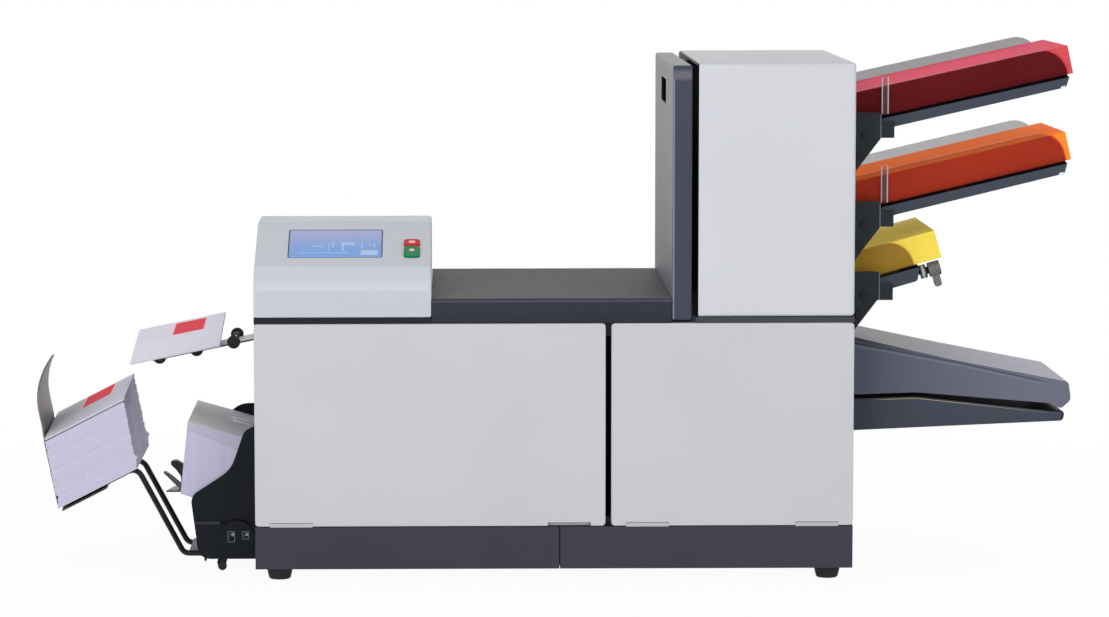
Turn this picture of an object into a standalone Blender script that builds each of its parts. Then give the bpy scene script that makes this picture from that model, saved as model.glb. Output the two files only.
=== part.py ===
"""Desk folder inserter: a machine that folds sheets, puts them in envelopes and seals them.

Metres, +Z up. The operator faces the front, which looks along -Y. X runs along the machine, from the
envelope end at the left to the paper feeders at the right. The origin is on the table, under the middle.
"""

import bpy
import bmesh
from math import atan2, cos, pi, radians, sin, tan
from mathutils import Vector

# Driving sizes of the cabinet
BODY_LENGTH = 0.812
BODY_DEPTH = 0.420
FOOT_HEIGHT = 0.017
PLINTH_HEIGHT = 0.0575
DOOR_HEIGHT = 0.277
DECK_THICKNESS = 0.0075
TOWER_HEIGHT = 0.3425
TOWER_LENGTH = 0.2137
COLLATOR_LENGTH = 0.0267
COLLATOR_STEP = 0.003
SEAM_WIDTH = 0.0063
POD_LENGTH = 0.2406
POD_HEIGHT = 0.118
LID_TOP = 0.387

# Clearances
SEAT_GAP = 0.0003
PANEL_GAP = 0.001
OVERRUN = 0.004
WELD_DEPTH = 0.0006
BORE_GAP = 0.0003

# Plastics and sheet metal
SKIN = 0.004
SHELL = 0.003
PLATE = 0.0025
CORNER_RADIUS = 0.005
EDGE_RADIUS = 0.0015
ROUND_SIDES = 24
WHEEL_SIDES = 16
SMALL_SIDES = 12
BAR_SIDES = 8
ARC_STEPS = 4
ROUND_PROFILE = 0.5

# Feet
FOOT_RADIUS = 0.0185
FOOT_TIP_RADIUS = 0.015
FOOT_INSET_X = 0.032
FOOT_INSET_Y = 0.030

# Cabinet seams, as shares of the body's length from the left
PLINTH_SEAM_SHARE = 0.5096
DOOR_SEAM_SHARE = 0.5910
DOOR_SEAM_WIDTH = 0.008
DOOR_RETURN = 0.014

# Drop-front hinges
HINGE_BARREL_RADIUS = 0.0019
HINGE_PIN_RADIUS = 0.0012
HINGE_PIN_LENGTH = 0.004
HINGE_TAB_LENGTH = 0.058
HINGE_TAB_INSET = 0.020
HINGE_RISE = 0.0027

# Frame plates
FRAME_GAP = 0.016
FRAME_INSET = 0.010
FRAME_TOP_GAP = 0.012
FRAME_WINDOW_RADIUS = 0.012
FRAME_WINDOW_SHARES = ((0.06, 0.27), (0.32, 0.53), (0.58, 0.80))
FRAME_WEB_SHARE = 0.295
TOWER_WINDOW_SHARES = (0.45, 0.55)

# Tower and paper throats
TOWER_EDGE_RADIUS = 0.005
THROAT_WIDTH = 0.222
THROAT_HEIGHT = 0.056

# Collator door
COLLATOR_ROD_INSET = 0.0135
COLLATOR_ROD_RISE = 0.036
COLLATOR_ROD_RADIUS = 0.003
COLLATOR_FRONT_DROP = 0.0035
COLLATOR_EDGE_RADIUS = 0.003
HAND_HOLE_WIDTH = 0.110
HAND_HOLE_HEIGHT = 0.034
HAND_HOLE_DROP = 0.026
FORK_WIDTH = 0.010
FORK_REACH = 0.150
FORK_ARM = 0.003
COLLATOR_TRAVEL = 0.030

# Control pod profile, from the front of the body backwards
POD_BAND_HEIGHT = 0.0435
POD_BROW_DEPTH = 0.024
POD_BROW_HEIGHT = 0.067
POD_CREST_DEPTH = 0.153
POD_RIDGE_DEPTH = 0.245
POD_TAIL_HEIGHT = 0.094
POD_BROW_RADIUS = 0.030
POD_CREST_RADIUS = 0.020
POD_EDGE_RADIUS = 0.003

# Control panel, measured up the sloping face
SCREEN_LENGTH = 0.1290
SCREEN_HEIGHT = 0.0856
SCREEN_START = 0.0275
SCREEN_INSET = 0.0445
SCREEN_RECESS = 0.0030
SCREEN_THICKNESS = 0.0024
SCREEN_RADIUS = 0.0040
BUTTON_LENGTH = 0.0215
START_BUTTON_DEPTH = 0.0305
STOP_BUTTON_DEPTH = 0.0190
BUTTON_INSET = 0.0160
BUTTON_START = 0.0265
BUTTON_CLEARANCE = 0.0022
BUTTON_RISE = 0.0030
BUTTON_BODY = 0.0060
BUTTON_TRAVEL = 0.0015
BUTTON_RADIUS = 0.0045

# Transport lid and its roller
LID_GAP = 0.0005
LID_EDGE_RADIUS = 0.005
LID_HINGE_RISE = 0.0040
LID_HINGE_SPREAD = 0.110
TRANSPORT_ROLLER_RADIUS = 0.009
TRANSPORT_ROLLER_REACH = 0.150
TRANSPORT_ROLLER_INSET = 0.1393
TRANSPORT_AXLE_RADIUS = 0.003
TRANSPORT_AXLE_RISE = 0.0120
ROLLER_EAR_WIDTH = 0.006
ROLLER_EAR_MARGIN = 0.003

# Rollers and gears inside the cabinet
FOLD_ROLLER_INSET = 0.076
FOLD_ROLLER_Z = 0.200
FOLD_AXLE_RADIUS = 0.005
FOLD_NIP = 0.0006
GEAR_MODULE = 0.0020
FOLD_GEAR_TEETH = 18
WHEEL_GEAR_TEETH = 36
GEAR_WIDTH = 0.005
GEAR_STANDOFF = 0.0012
HAND_WHEEL_RADIUS = 0.034
HAND_WHEEL_WIDTH = 0.0065
HAND_WHEEL_NOTCHES = 8
HAND_WHEEL_NOTCH_RADIUS = 0.005
HAND_AXLE_RADIUS = 0.004
HAND_AXLE_REACH = 0.012
RISER_ROLLER_RADIUS = 0.014
RISER_ROLLER_INSET = 0.0397
RISER_ROLLER_Z = 0.520
RISER_AXLE_RADIUS = 0.004
AXLE_OVERHANG = 0.004
ROLLER_END_GAP = 0.004

# Motor and water tank
MOTOR_RADIUS = 0.035
MOTOR_LENGTH = 0.085
MOTOR_Z = 0.150
MOTOR_BOSS_RADIUS = 0.014
MOTOR_BOSS_LENGTH = 0.008
TANK_LENGTH = 0.085
TANK_DEPTH = 0.110
TANK_HEIGHT = 0.080
TANK_INSET = 0.096
TANK_SETBACK = 0.115
TANK_NECK_RADIUS = 0.014
TANK_NECK_HEIGHT = 0.016
TANK_EDGE_RADIUS = 0.008

# Fold-plate shells at the right end
SHELL_HALF_WIDTH = 0.112
SHELL_REACH = 0.310
SHELL_UPPER_ROOT_TOP = 0.3221
SHELL_UPPER_KNEE = 0.2884
SHELL_UPPER_TIP_TOP = 0.2585
SHELL_TIP_BOTTOM = 0.2215
SHELL_LOWER_TIP_TOP = 0.2192
SHELL_LOWER_TIP_BOTTOM = 0.2040
SHELL_LOWER_ROOT_BOTTOM = 0.1910
SHELL_GAP = 0.0050
SHELL_CREST = 0.2447
SHELL_ROOT_SAG = 0.0032
SHELL_TIP_CREST = 0.2291
SHELL_ROOF_RADIUS = 0.018
SHELL_HINGE_RADIUS = 0.0020
SHELL_HINGE_DROP = 0.0005
SHELL_EAR_THICKNESS = 0.0030
SHELL_EAR_HEIGHT = 0.0045
SHELL_KNEE_SHARE = 0.49
SHELL_CREST_SHARE = 0.31
SHELL_CREST_END_SHARE = 0.90
SHELL_UPPER_TIP_SHARES = (0.987, 0.955)
SHELL_LOWER_TIP_SHARES = (0.895, 0.975, 0.965)

# Paper feeders
TOP_FEEDER_SLOPE = radians(12.4)
MIDDLE_FEEDER_SLOPE = radians(13.2)
TOP_FEEDER_HEIGHT = 0.6158
MIDDLE_FEEDER_HEIGHT = 0.4935
SHORT_FEEDER_SLOPE = radians(15.4)
SHORT_FEEDER_HEIGHT = 0.3950
STACK_WIDTH = 0.216
STACK_THICKNESS = 0.0385
STACK_REACH = 0.3145
SHORT_STACK_REACH = 0.1345
STACK_ENTRY = 0.022
TRAY_REACH = 0.3070
SHORT_TRAY_REACH = 0.1010
TRAY_ROOT_DEPTH = 0.0178
TRAY_TIP_DEPTH = 0.0158
SHORT_TRAY_ROOT_DEPTH = 0.0222
SHORT_TRAY_TIP_DEPTH = 0.0212
TRAY_BED = 0.0027
TRAY_BED_SETBACK = 0.0015
TRAY_HALF_WIDTH = 0.118
TRAY_NOSE = 0.007
BRACKET_REACH = 0.0435
BRACKET_RISE = 0.0060
BRACKET_DROP = 0.0290
BRACKET_WEB_DROP = 0.0570
BRACKET_INNER_Y = 0.1205
BRACKET_BLOCK_REACH = 0.0180
BRACKET_BLOCK_DROP = 0.0220
BRACKET_BORE_RADIUS = 0.0050
BRACKET_BORE_SHARES = ((0.5, 0.30), (0.35, 0.62))
GUIDE_THICKNESS = 0.003
GUIDE_HEIGHT = 0.0515
FRONT_GUIDE_HEIGHTS = {"top": 0.0400, "middle": 0.0460, "short": 0.0400}
GUIDE_RADIUS = 0.034
GUIDE_REACH = 0.3065
SHORT_GUIDE_REACH = 0.0950
GUIDE_ROOT_GAP = 0.0020
GUIDE_SIDE_GAP = 0.0005
GUIDE_TRAVEL = 0.008
TONGUE_LENGTH = 0.030
TONGUE_REACH = 0.034
TONGUE_DEPTH = 0.0022
TONGUE_START_SHARE = 0.45
POST_START = 0.0450
POST_WIDTH = 0.0095
POST_HEIGHT = 0.0500
POST_THICKNESS = 0.0030

# Width knob of the short feeder
KNOB_RADIUS = 0.0100
KNOB_LENGTH = 0.0160
KNOB_RING_RADIUS = 0.0095
KNOB_RING_LENGTH = 0.0090
KNOB_NECK_RADIUS = 0.0050
KNOB_NECK_LENGTH = 0.0035
KNOB_STUB_RADIUS = 0.0030
KNOB_STUB_LENGTH = 0.0120
KNOB_WING_WIDTH = 0.0100
KNOB_WING_THICKNESS = 0.0080
KNOB_WING_REACH = 0.0250
KNOB_DROP = 0.0135
KNOB_SETBACK = 0.013

# Envelope hopper at the left end
HOPPER_REACH = 0.0935
CHEEK_INNER_Y = 0.1165
CHEEK_THICKNESS = 0.003
CHEEK_TOP = 0.2035
CHEEK_SHOULDER = 0.1945
CHEEK_WAIST = 0.1400
CHEEK_HIP = 0.1035
CHEEK_BOTTOM = 0.0171
CHEEK_SHOULDER_REACH = 0.0185
CHEEK_WAIST_REACH = 0.0375
CHEEK_TOE_REACH = 0.0822
CHEEK_SHOULDER_RADIUS = 0.016
CHEEK_WAIST_RADIUS = 0.045
CHEEK_HIP_RADIUS = 0.017
REAR_DOME_TOP = 0.2020
REAR_DOME_RADIUS = 0.0327
REAR_DOME_REACH = 0.0564
REAR_DOME_FOOT = 0.1500
CHEEK_TRAVEL = 0.012
CHEEK_LEDGE_HEIGHT = 0.0660
CHEEK_LEDGE_THICKNESS = 0.0065
CHEEK_BOSS_RADIUS = 0.0247
CHEEK_BOSS_REACH = 0.0290
CHEEK_BOSS_HEIGHT = 0.0464
CHEEK_BOSS_THICKNESS = 0.0090
CHEEK_TONGUE_LENGTH = 0.050
CHEEK_TONGUE_HEIGHT = 0.010
CHEEK_TONGUE_REACH = 0.036
CHEEK_TONGUE_Z = 0.040
HOPPER_BED_RISE = 0.0752
HOPPER_BED_TOP = 0.1010
HOPPER_LIP = 0.091
HOPPER_SIDE_GAP = 0.0004

# Thumb lever under the front cheek
LEVER_PIVOT_REACH = 0.0500
LEVER_PIVOT_Z = 0.0260
LEVER_HEAD_RADIUS = 0.0050
LEVER_PIN_RADIUS = 0.0015
LEVER_THICKNESS = 0.0036
LEVER_SLOT_LENGTH = 0.0220
LEVER_SLOT_HEIGHT = 0.0170
LEVER_BLADE = ((0.0074, -0.0083, 0.002), (0.0025, -0.0250, 0.001), (-0.0010, -0.0245, 0.001),
               (-0.0075, -0.0150, 0.005), (-0.0050, -0.0060, 0.004))

# Feed fingers that stand clear of the envelope stack
FINGER_TONGUE_THICKNESS = 0.0022
FINGER_TONGUE_DROP = 0.0048
FINGER_TONGUE_PLAN = ((0, -0.018), (0.0427, -0.018), (0.0317, 0.030), (0, 0.030))
FINGER_PADDLE = ((0.0232, -0.0012, 0), (0.0232, 0.0167, 0.004), (0.0302, 0.0265, 0.004),
                 (0.0372, 0.0332, 0.003),
                 (0.0372, 0.0382, 0.002), (0.0292, 0.0397, 0.004), (0.0167, 0.0322, 0.004),
                 (0.0167, -0.0012, 0))
FINGER_BLADE = ((0.0252, -0.0012, 0), (0.0252, 0.0036, 0), (0.0326, 0.0105, 0.006), (0.0415, 0.0196, 0.006),
                (0.0488, 0.0267, 0.001), (0.0426, 0.0253, 0.004), (0.0359, 0.0207, 0.006),
                (0.0242, 0.0104, 0.004),
                (0.0177, 0.0044, 0), (0.0177, -0.0012, 0))
FINGER_WIDTH = 0.0120
FINGER_SPREAD = 0.0035

# Envelope stack in the hopper and the strip that holds it down
ENVELOPE_WIDTH = 0.229
HOPPER_STACK_SIDE_GAP = 0.0005
HOPPER_STACK_TOP = 0.2070
HOPPER_STACK_LEAN = 0.0110
HOPPER_STACK_OVERHANG = 0.0150
HOPPER_STACK_END_GAP = 0.0030
HOPPER_STACK_SLOPE = radians(15.9)
STRIP_HALF_WIDTH = 0.0220
STRIP_Y = 0.0200
STRIP_THICKNESS = 0.0012
STRIP_REACH = 0.0440
STRIP_PIVOT_INSET = 0.0130
STRIP_BARREL_RADIUS = 0.0030
STRIP_PIN_RADIUS = 0.0015
STRIP_PIN_LENGTH = 0.0035
STRIP_EAR_THICKNESS = 0.0030
STRIP_EAR_GAP = 0.0005
STRIP_EAR_HEIGHT = 0.0120
HOPPER_WINDOW_BASE = 0.120
HOPPER_WINDOW_TOP = 0.196
HOPPER_WINDOW_HALF_WIDTH = 0.100

# Finished-envelope tray: two bent rods, a stop plate and the stack
ROD_RADIUS = 0.004
ROD_SPREAD = 0.045
ROD_ROOT_REACH = 0.040
ROD_ROOT_Z = 0.0116
ROD_KNEE_REACH = 0.108
ROD_BEND_REACH = 0.173
ROD_BEND_Z = 0.134
ROD_KNEE_RADIUS = 0.012
ROD_BEND_RADIUS = 0.014
TRAY_SLOPE = radians(27)
ROD_TRAY_LENGTH = 0.108
CROSS_BAR_RADIUS = 0.0020
CROSS_BAR_DROP = 0.0018
CROSS_BAR_PLACES_SHARES = (0.64, 0.94)
ROD_PLATE_THICKNESS = 0.0020
ROD_PLATE_START = 0.048
ROD_PLATE_LENGTH = 0.052
ROD_PLATE_MARGIN = 0.006
DONE_STACK_HEIGHT = 0.0955
DONE_STACK_LENGTH = 0.1240
DONE_STACK_HEAD = 0.0090
DONE_STACK_SHEAR = 0.0280
STOP_FOOT_LENGTH = 0.060
STOP_FOOT_THICKNESS = 0.0030
STOP_FOOT_LIFT = 0.0005
STOP_HALF_WIDTH = 0.075
STOP_THICKNESS = 0.0020
STOP_OFFSET = 0.0040
STOP_PROFILE = ((0.0897, 0.0180), (0.1132, 0.0211), (0.1374, 0.0260), (0.1561, 0.0284), (0.1761, 0.0253),
                (0.1916, 0.0200), (0.2058, 0.0123))
STOP_BEND_RADIUS = 0.070
STOP_CORNER_RADIUS = 0.0745
STOP_RUNNER_LENGTH = 0.070
STOP_RUNNER_THICKNESS = 0.0025
STOP_RUNNER_HALF_WIDTH = 0.060
STOP_TRAVEL = 0.020

# Exit deck with three wheel shafts
EXIT_SLOPE = radians(11.5)
EXIT_SHAFT_REACH = 0.0357
EXIT_SHAFT_Z = 0.3098
EXIT_SHAFT_SPACING = 0.0527
EXIT_SHAFTS = 3
EXIT_WHEEL_RADIUS = 0.0092
EXIT_WHEEL_WIDTH = 0.005
EXIT_WHEEL_Y = 0.049
EXIT_AXLE_RADIUS = 0.0020
EXIT_AXLE_END = 0.0530
EXIT_DECK_HALF_WIDTH = 0.035
EXIT_DECK_TOP = -0.0026
EXIT_DECK_BOTTOM = 0.0048
EXIT_EAR_WIDTH = 0.004
EXIT_EAR_LENGTH = 0.009
EXIT_EAR_TOP = 0.0042
EXIT_DECK_TAIL = 0.012
EXIT_DECK_ROOT = 0.020
EXIT_SLOT_HALF_WIDTH = 0.122
EXIT_SLOT_HEIGHT = 0.033
EXIT_ENVELOPE_START = 0.0145
EXIT_ENVELOPE_LENGTH = 0.1265
EXIT_ENVELOPE_THICKNESS = 0.0024
EXIT_ENVELOPE_CURL = 0.0170
EXIT_ENVELOPE_DROOP = 0.0018
EXIT_ENVELOPE_POWER = 1.6
EXIT_ENVELOPE_STEPS = 12

# Places worked out from the driving sizes
HALF_LENGTH = BODY_LENGTH / 2
HALF_DEPTH = BODY_DEPTH / 2
LEFT_END = -HALF_LENGTH
RIGHT_END = HALF_LENGTH
PLINTH_TOP = FOOT_HEIGHT + PLINTH_HEIGHT
PLINTH_FLOOR = FOOT_HEIGHT + SHELL
DOOR_BASE = PLINTH_TOP + PANEL_GAP
DOOR_TOP = DOOR_BASE + DOOR_HEIGHT
DECK_BASE = DOOR_TOP + LID_GAP
DECK_TOP = DECK_BASE + DECK_THICKNESS
UPPER_BASE = DECK_TOP + SEAT_GAP
TOWER_LEFT = RIGHT_END - TOWER_LENGTH
TOWER_TOP = UPPER_BASE + TOWER_HEIGHT
COLLATOR_RIGHT = TOWER_LEFT - SEAM_WIDTH
COLLATOR_LEFT = COLLATOR_RIGHT - COLLATOR_LENGTH
POD_RIGHT = LEFT_END + POD_LENGTH
HINGE_Y = -HALF_DEPTH + SKIN / 2
HINGE_Z = DOOR_BASE + HINGE_RISE
FRAME_FACE_Y = HALF_DEPTH - SKIN - FRAME_GAP
COLLATOR_ROD_X = COLLATOR_LEFT + COLLATOR_ROD_INSET
COLLATOR_ROD_Z = DECK_BASE + COLLATOR_ROD_RISE + SKIN
LID_HINGE_Y = HALF_DEPTH - SKIN / 2
LID_HINGE_Z = DECK_TOP + LID_HINGE_RISE
TRANSPORT_AXLE_Z = DECK_TOP + TRANSPORT_AXLE_RISE
TRANSPORT_ROLLER_X = COLLATOR_LEFT - TRANSPORT_ROLLER_INSET
FOLD_ROLLER_X = RIGHT_END - FOLD_ROLLER_INSET
RISER_ROLLER_X = TOWER_LEFT + RISER_ROLLER_INSET
MOTOR_X = LEFT_END + FRAME_INSET + (BODY_LENGTH - 2 * FRAME_INSET) * FRAME_WEB_SHARE
TANK_X = LEFT_END + TANK_INSET
TANK_Y = -HALF_DEPTH + TANK_SETBACK
KNOB_Y = -STACK_WIDTH / 2 + KNOB_SETBACK
PLINTH_SEAM_X = LEFT_END + BODY_LENGTH * PLINTH_SEAM_SHARE
DOOR_SEAM_X = LEFT_END + BODY_LENGTH * DOOR_SEAM_SHARE

# Start from an empty scene
for leftover in list(bpy.data.objects):
    bpy.data.objects.remove(leftover, do_unlink=True)


# Materials
def material(name, colour, roughness, metallic=0.0):
    """A Principled material; colour is linear RGB or RGBA."""
    paint = bpy.data.materials.new(name)
    paint.use_nodes = True
    shader = paint.node_tree.nodes["Principled BSDF"]
    shader.inputs["Base Color"].default_value = (*colour[:3], 1.0)
    shader.inputs["Roughness"].default_value = roughness
    shader.inputs["Metallic"].default_value = metallic
    if len(colour) == 4:
        shader.inputs["Alpha"].default_value = colour[3]
    return paint


WHITE = material("white_plastic", (0.62, 0.64, 0.66), 0.45)
SLATE = material("slate_plastic", (0.065, 0.070, 0.090), 0.50)
DARK = material("dark_plastic", (0.018, 0.020, 0.023), 0.50)
RUBBER = material("black_rubber", (0.015, 0.015, 0.016), 0.80)
STEEL = material("steel", (0.45, 0.46, 0.48), 0.35, 1.0)
BLACK_STEEL = material("black_steel", (0.020, 0.020, 0.022), 0.40, 0.5)
GREY_STEEL = material("grey_steel", (0.18, 0.18, 0.20), 0.40, 0.8)
SMOKE = material("smoked_plastic", (0.10, 0.09, 0.10, 0.55), 0.15)
CLEAR = material("clear_plastic", (0.80, 0.82, 0.85, 0.35), 0.08)
SCREEN = material("screen", (0.28, 0.36, 0.70), 0.20)
RED_BUTTON = material("red_button", (0.62, 0.03, 0.02), 0.35)
GREEN_BUTTON = material("green_button", (0.01, 0.30, 0.09), 0.35)
RED_PAPER = material("red_paper", (0.75, 0.04, 0.06), 0.75)
ORANGE_PAPER = material("orange_paper", (0.85, 0.17, 0.03), 0.75)
YELLOW_PAPER = material("yellow_paper", (0.85, 0.65, 0.08), 0.75)
ENVELOPE = material("envelope_paper", (0.66, 0.66, 0.74), 0.80)
GEAR_PLASTIC = material("gear_plastic", (0.55, 0.53, 0.47), 0.50)
WATER_PLASTIC = material("tank_plastic", (0.60, 0.68, 0.72), 0.40)


# Frames: an origin, the directions of an outline's two numbers, and the extrusion direction
X_AXIS = Vector((1, 0, 0))
Y_AXIS = Vector((0, 1, 0))
Z_AXIS = Vector((0, 0, 1))
CENTRE = Vector((0, 0, 0))
SIDE_VIEW = (CENTRE, X_AXIS, Z_AXIS, Y_AXIS)
END_VIEW = (CENTRE, Y_AXIS, Z_AXIS, X_AXIS)
PLAN_VIEW = (CENTRE, X_AXIS, Y_AXIS, Z_AXIS)


def falling_frame(x, z, angle):
    """A side-view frame whose first direction falls to the left."""
    along = Vector((-cos(angle), 0, -sin(angle)))
    upward = Vector((-sin(angle), 0, cos(angle)))
    return (Vector((x, 0, z)), along, upward, Y_AXIS)


def at(frame, u, v, w=0):
    """The point of a frame at its three coordinates."""
    origin, along, upward, across = frame
    return origin + along * u + upward * v + across * w


# Outlines
def rounded(corners, steps=ARC_STEPS):
    """An outline from (u, v, radius) corners, each radius drawn as an arc."""
    outline = []
    for index, (u, v, radius) in enumerate(corners):
        here = Vector((u, v))
        if radius == 0:
            outline.append(here)
            continue
        before = (Vector(corners[index - 1][:2]) - here).normalized()
        after = (Vector(corners[(index + 1) % len(corners)][:2]) - here).normalized()
        half_angle = before.angle(after) / 2
        centre = here + (before + after).normalized() * (radius / sin(half_angle))
        start = here + before * (radius / tan(half_angle)) - centre
        end = here + after * (radius / tan(half_angle)) - centre
        turn = (atan2(end.y, end.x) - atan2(start.y, start.x) + pi) % (2 * pi) - pi
        for step in range(steps + 1):
            angle = atan2(start.y, start.x) + turn * step / steps
            outline.append(centre + Vector((cos(angle), sin(angle))) * radius)
    return outline


def rectangle(low_u, low_v, high_u, high_v, radius=0.0, steps=ARC_STEPS):
    """A rectangle with rounded corners."""
    return rounded([(low_u, low_v, radius), (high_u, low_v, radius),
                    (high_u, high_v, radius), (low_u, high_v, radius)], steps)


def ribbon(line, thickness):
    """The outline of a strip of even thickness along a line of points."""
    normals = []
    for index, point in enumerate(line):
        before = line[max(index - 1, 0)]
        after = line[min(index + 1, len(line) - 1)]
        way = (after - before).normalized()
        normals.append(Vector((-way.y, way.x)) * thickness / 2)
    near = [point + normal for point, normal in zip(line, normals)]
    far = [point - normal for point, normal in zip(line, normals)]
    return near + far[::-1]


def bent_line(corners, steps=ARC_STEPS):
    """An open line through (u, v, radius) corners, its inner corners rounded."""
    first = Vector(corners[0][:2])
    last = Vector(corners[-1][:2])
    ends = [(first.x, first.y, 0)] + list(corners[1:-1]) + [(last.x, last.y, 0)]
    return rounded(ends, steps)


def gear_outline(teeth, backlash_share=0.10):
    """A spur gear: straight-sided teeth on the pitch circle, with backlash."""
    pitch_radius = GEAR_MODULE * teeth / 2
    tip = pitch_radius + GEAR_MODULE * 0.75
    root = pitch_radius - GEAR_MODULE * 1.15
    pitch = 2 * pi / teeth
    outline = []
    for tooth in range(teeth):
        middle = tooth * pitch
        for radius, half_share in ((root, 0.33), (tip, 0.13)):
            outline.append((radius, middle - pitch * (half_share - backlash_share / 4)))
        for radius, half_share in ((tip, 0.13), (root, 0.33)):
            outline.append((radius, middle + pitch * (half_share - backlash_share / 4)))
    return [Vector((radius * cos(angle), radius * sin(angle))) for radius, angle in outline]


# Solids
def add_object(name, mesh, paint=None):
    """Put a mesh in the scene as a named object."""
    body = bpy.data.objects.new(name, mesh)
    bpy.context.scene.collection.objects.link(body)
    if paint:
        mesh.materials.append(paint)
    return body


def finish_mesh(name, bm, paint=None):
    """Turn a bmesh into an object whose faces point outwards."""
    bmesh.ops.recalc_face_normals(bm, faces=bm.faces)
    mesh = bpy.data.meshes.new(name)
    bm.to_mesh(mesh)
    bm.free()
    mesh.shade_smooth()
    mesh.set_sharp_from_angle(angle=radians(30))
    return add_object(name, mesh, paint)


def extrude(name, outline, frame, low, high, paint=None, soften=None):
    """Extrude an outline; soften is (chooser of an edge's middle, width, segments)."""
    bm = bmesh.new()
    near = [bm.verts.new(at(frame, u, v, low)) for u, v in outline]
    far = [bm.verts.new(at(frame, u, v, high)) for u, v in outline]
    bm.faces.new(near)
    bm.faces.new(far[::-1])
    for index, vertex in enumerate(near):
        bm.faces.new((near[index - 1], far[index - 1], far[index], vertex))
    if soften:
        chooser, width, segments = soften
        edges = [edge for edge in bm.edges if chooser(edge)]
        bmesh.ops.bevel(bm, geom=edges, offset=width, segments=segments,
                        profile=ROUND_PROFILE, affect="EDGES")
    return finish_mesh(name, bm, paint)


def box(name, low, high, paint=None):
    """A plain box between two corners."""
    return extrude(name, rectangle(low[0], low[1], high[0], high[1]), PLAN_VIEW, low[2], high[2], paint)


def turned(name, profile, origin, axis, paint=None, sides=ROUND_SIDES):
    """Turn (radius, height) points about an axis; the ends are closed with flat caps."""
    across = axis.orthogonal().normalized()
    beside = axis.cross(across).normalized()
    bm = bmesh.new()
    rings = []
    for radius, height in profile:
        ring = []
        for side in range(sides):
            angle = 2 * pi * (side + 0.5) / sides
            spoke = across * cos(angle) + beside * sin(angle)
            ring.append(bm.verts.new(origin + axis * height + spoke * radius))
        rings.append(ring)
    for lower, upper in zip(rings, rings[1:]):
        for side in range(sides):
            bm.faces.new((lower[side - 1], lower[side], upper[side], upper[side - 1]))
    bm.faces.new(rings[0])
    bm.faces.new(rings[-1][::-1])
    return finish_mesh(name, bm, paint)


def rod(name, start, end, radius, paint=None, sides=ROUND_SIDES):
    """A round bar between two points."""
    way = end - start
    return turned(name, [(radius, 0), (radius, way.length)], start, way.normalized(), paint, sides)


def tube_along(name, line, radius, sides, paint=None):
    """A round bar bent along a line of points that lies in one side-view plane."""
    bm = bmesh.new()
    rings = []
    for index, point in enumerate(line):
        before = line[max(index - 1, 0)]
        after = line[min(index + 1, len(line) - 1)]
        way = (after - before).normalized()
        upward = way.cross(Y_AXIS).normalized()
        ring = []
        for side in range(sides):
            angle = 2 * pi * side / sides
            ring.append(bm.verts.new(point + (upward * cos(angle) + Y_AXIS * sin(angle)) * radius))
        rings.append(ring)
    for lower, upper in zip(rings, rings[1:]):
        for side in range(sides):
            bm.faces.new((lower[side - 1], lower[side], upper[side], upper[side - 1]))
    bm.faces.new(rings[0])
    bm.faces.new(rings[-1][::-1])
    return finish_mesh(name, bm, paint)


def combine(body, tool, operation):
    """Use a hidden tool object on a body."""
    tool.hide_render = True
    tool.display_type = "WIRE"
    step = body.modifiers.new(operation.lower(), "BOOLEAN")
    step.operation = operation
    step.solver = "EXACT"
    step.object = tool
    return body


def cut(body, *tools):
    for tool in tools:
        combine(body, tool, "DIFFERENCE")
    return body


def weld(body, *tools):
    for tool in tools:
        combine(body, tool, "UNION")
    return body


def soften_edges(body, width, segments=2):
    """Round all sharp edges made so far."""
    step = body.modifiers.new("soft_edges", "BEVEL")
    step.width = width
    step.segments = segments
    step.limit_method = "ANGLE"
    step.angle_limit = radians(40)
    return body


# Feet: tapered rubber, one under each corner
def make_feet():
    places = {"left": LEFT_END + FOOT_INSET_X, "right": RIGHT_END - FOOT_INSET_X}
    sides = {"front": -HALF_DEPTH + FOOT_INSET_Y, "rear": HALF_DEPTH - FOOT_INSET_Y}
    top = FOOT_HEIGHT - SEAT_GAP
    profile = [(FOOT_TIP_RADIUS - EDGE_RADIUS, 0), (FOOT_TIP_RADIUS, EDGE_RADIUS), (FOOT_RADIUS, top)]
    for side, y in sides.items():
        for end, x in places.items():
            turned(f"foot_{side}_{end}", profile, Vector((x, y, 0)), Z_AXIS, RUBBER)


# Drop-front hinges: a barrel on the plinth with pins that turn in the door
def hinge_places(low_x, high_x):
    """Where the two hinges of a door lie along it."""
    first = low_x + HINGE_TAB_INSET
    last = high_x - HINGE_TAB_INSET - HINGE_TAB_LENGTH
    return [(first, first + HINGE_TAB_LENGTH), (last, last + HINGE_TAB_LENGTH)]


def hinge_barrel(body, low_x, high_x, y, z, foot_z):
    """Weld a hinge leaf, its barrel and its pins to a body, along X at (y, z)."""
    leaf = [Vector((y - HINGE_BARREL_RADIUS, foot_z)), Vector((y + HINGE_BARREL_RADIUS, foot_z))]
    for step in range(2 * ARC_STEPS + 1):
        angle = pi * step / (2 * ARC_STEPS)
        leaf.append(Vector((y + HINGE_BARREL_RADIUS * cos(angle), z + HINGE_BARREL_RADIUS * sin(angle))))
    pin_start = Vector((low_x - HINGE_PIN_LENGTH, y, z))
    pin_end = Vector((high_x + HINGE_PIN_LENGTH, y, z))
    return weld(body, extrude("hinge_leaf", leaf, END_VIEW, low_x, high_x),
                rod("hinge_pin", pin_start, pin_end, HINGE_PIN_RADIUS, sides=SMALL_SIDES))


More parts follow.
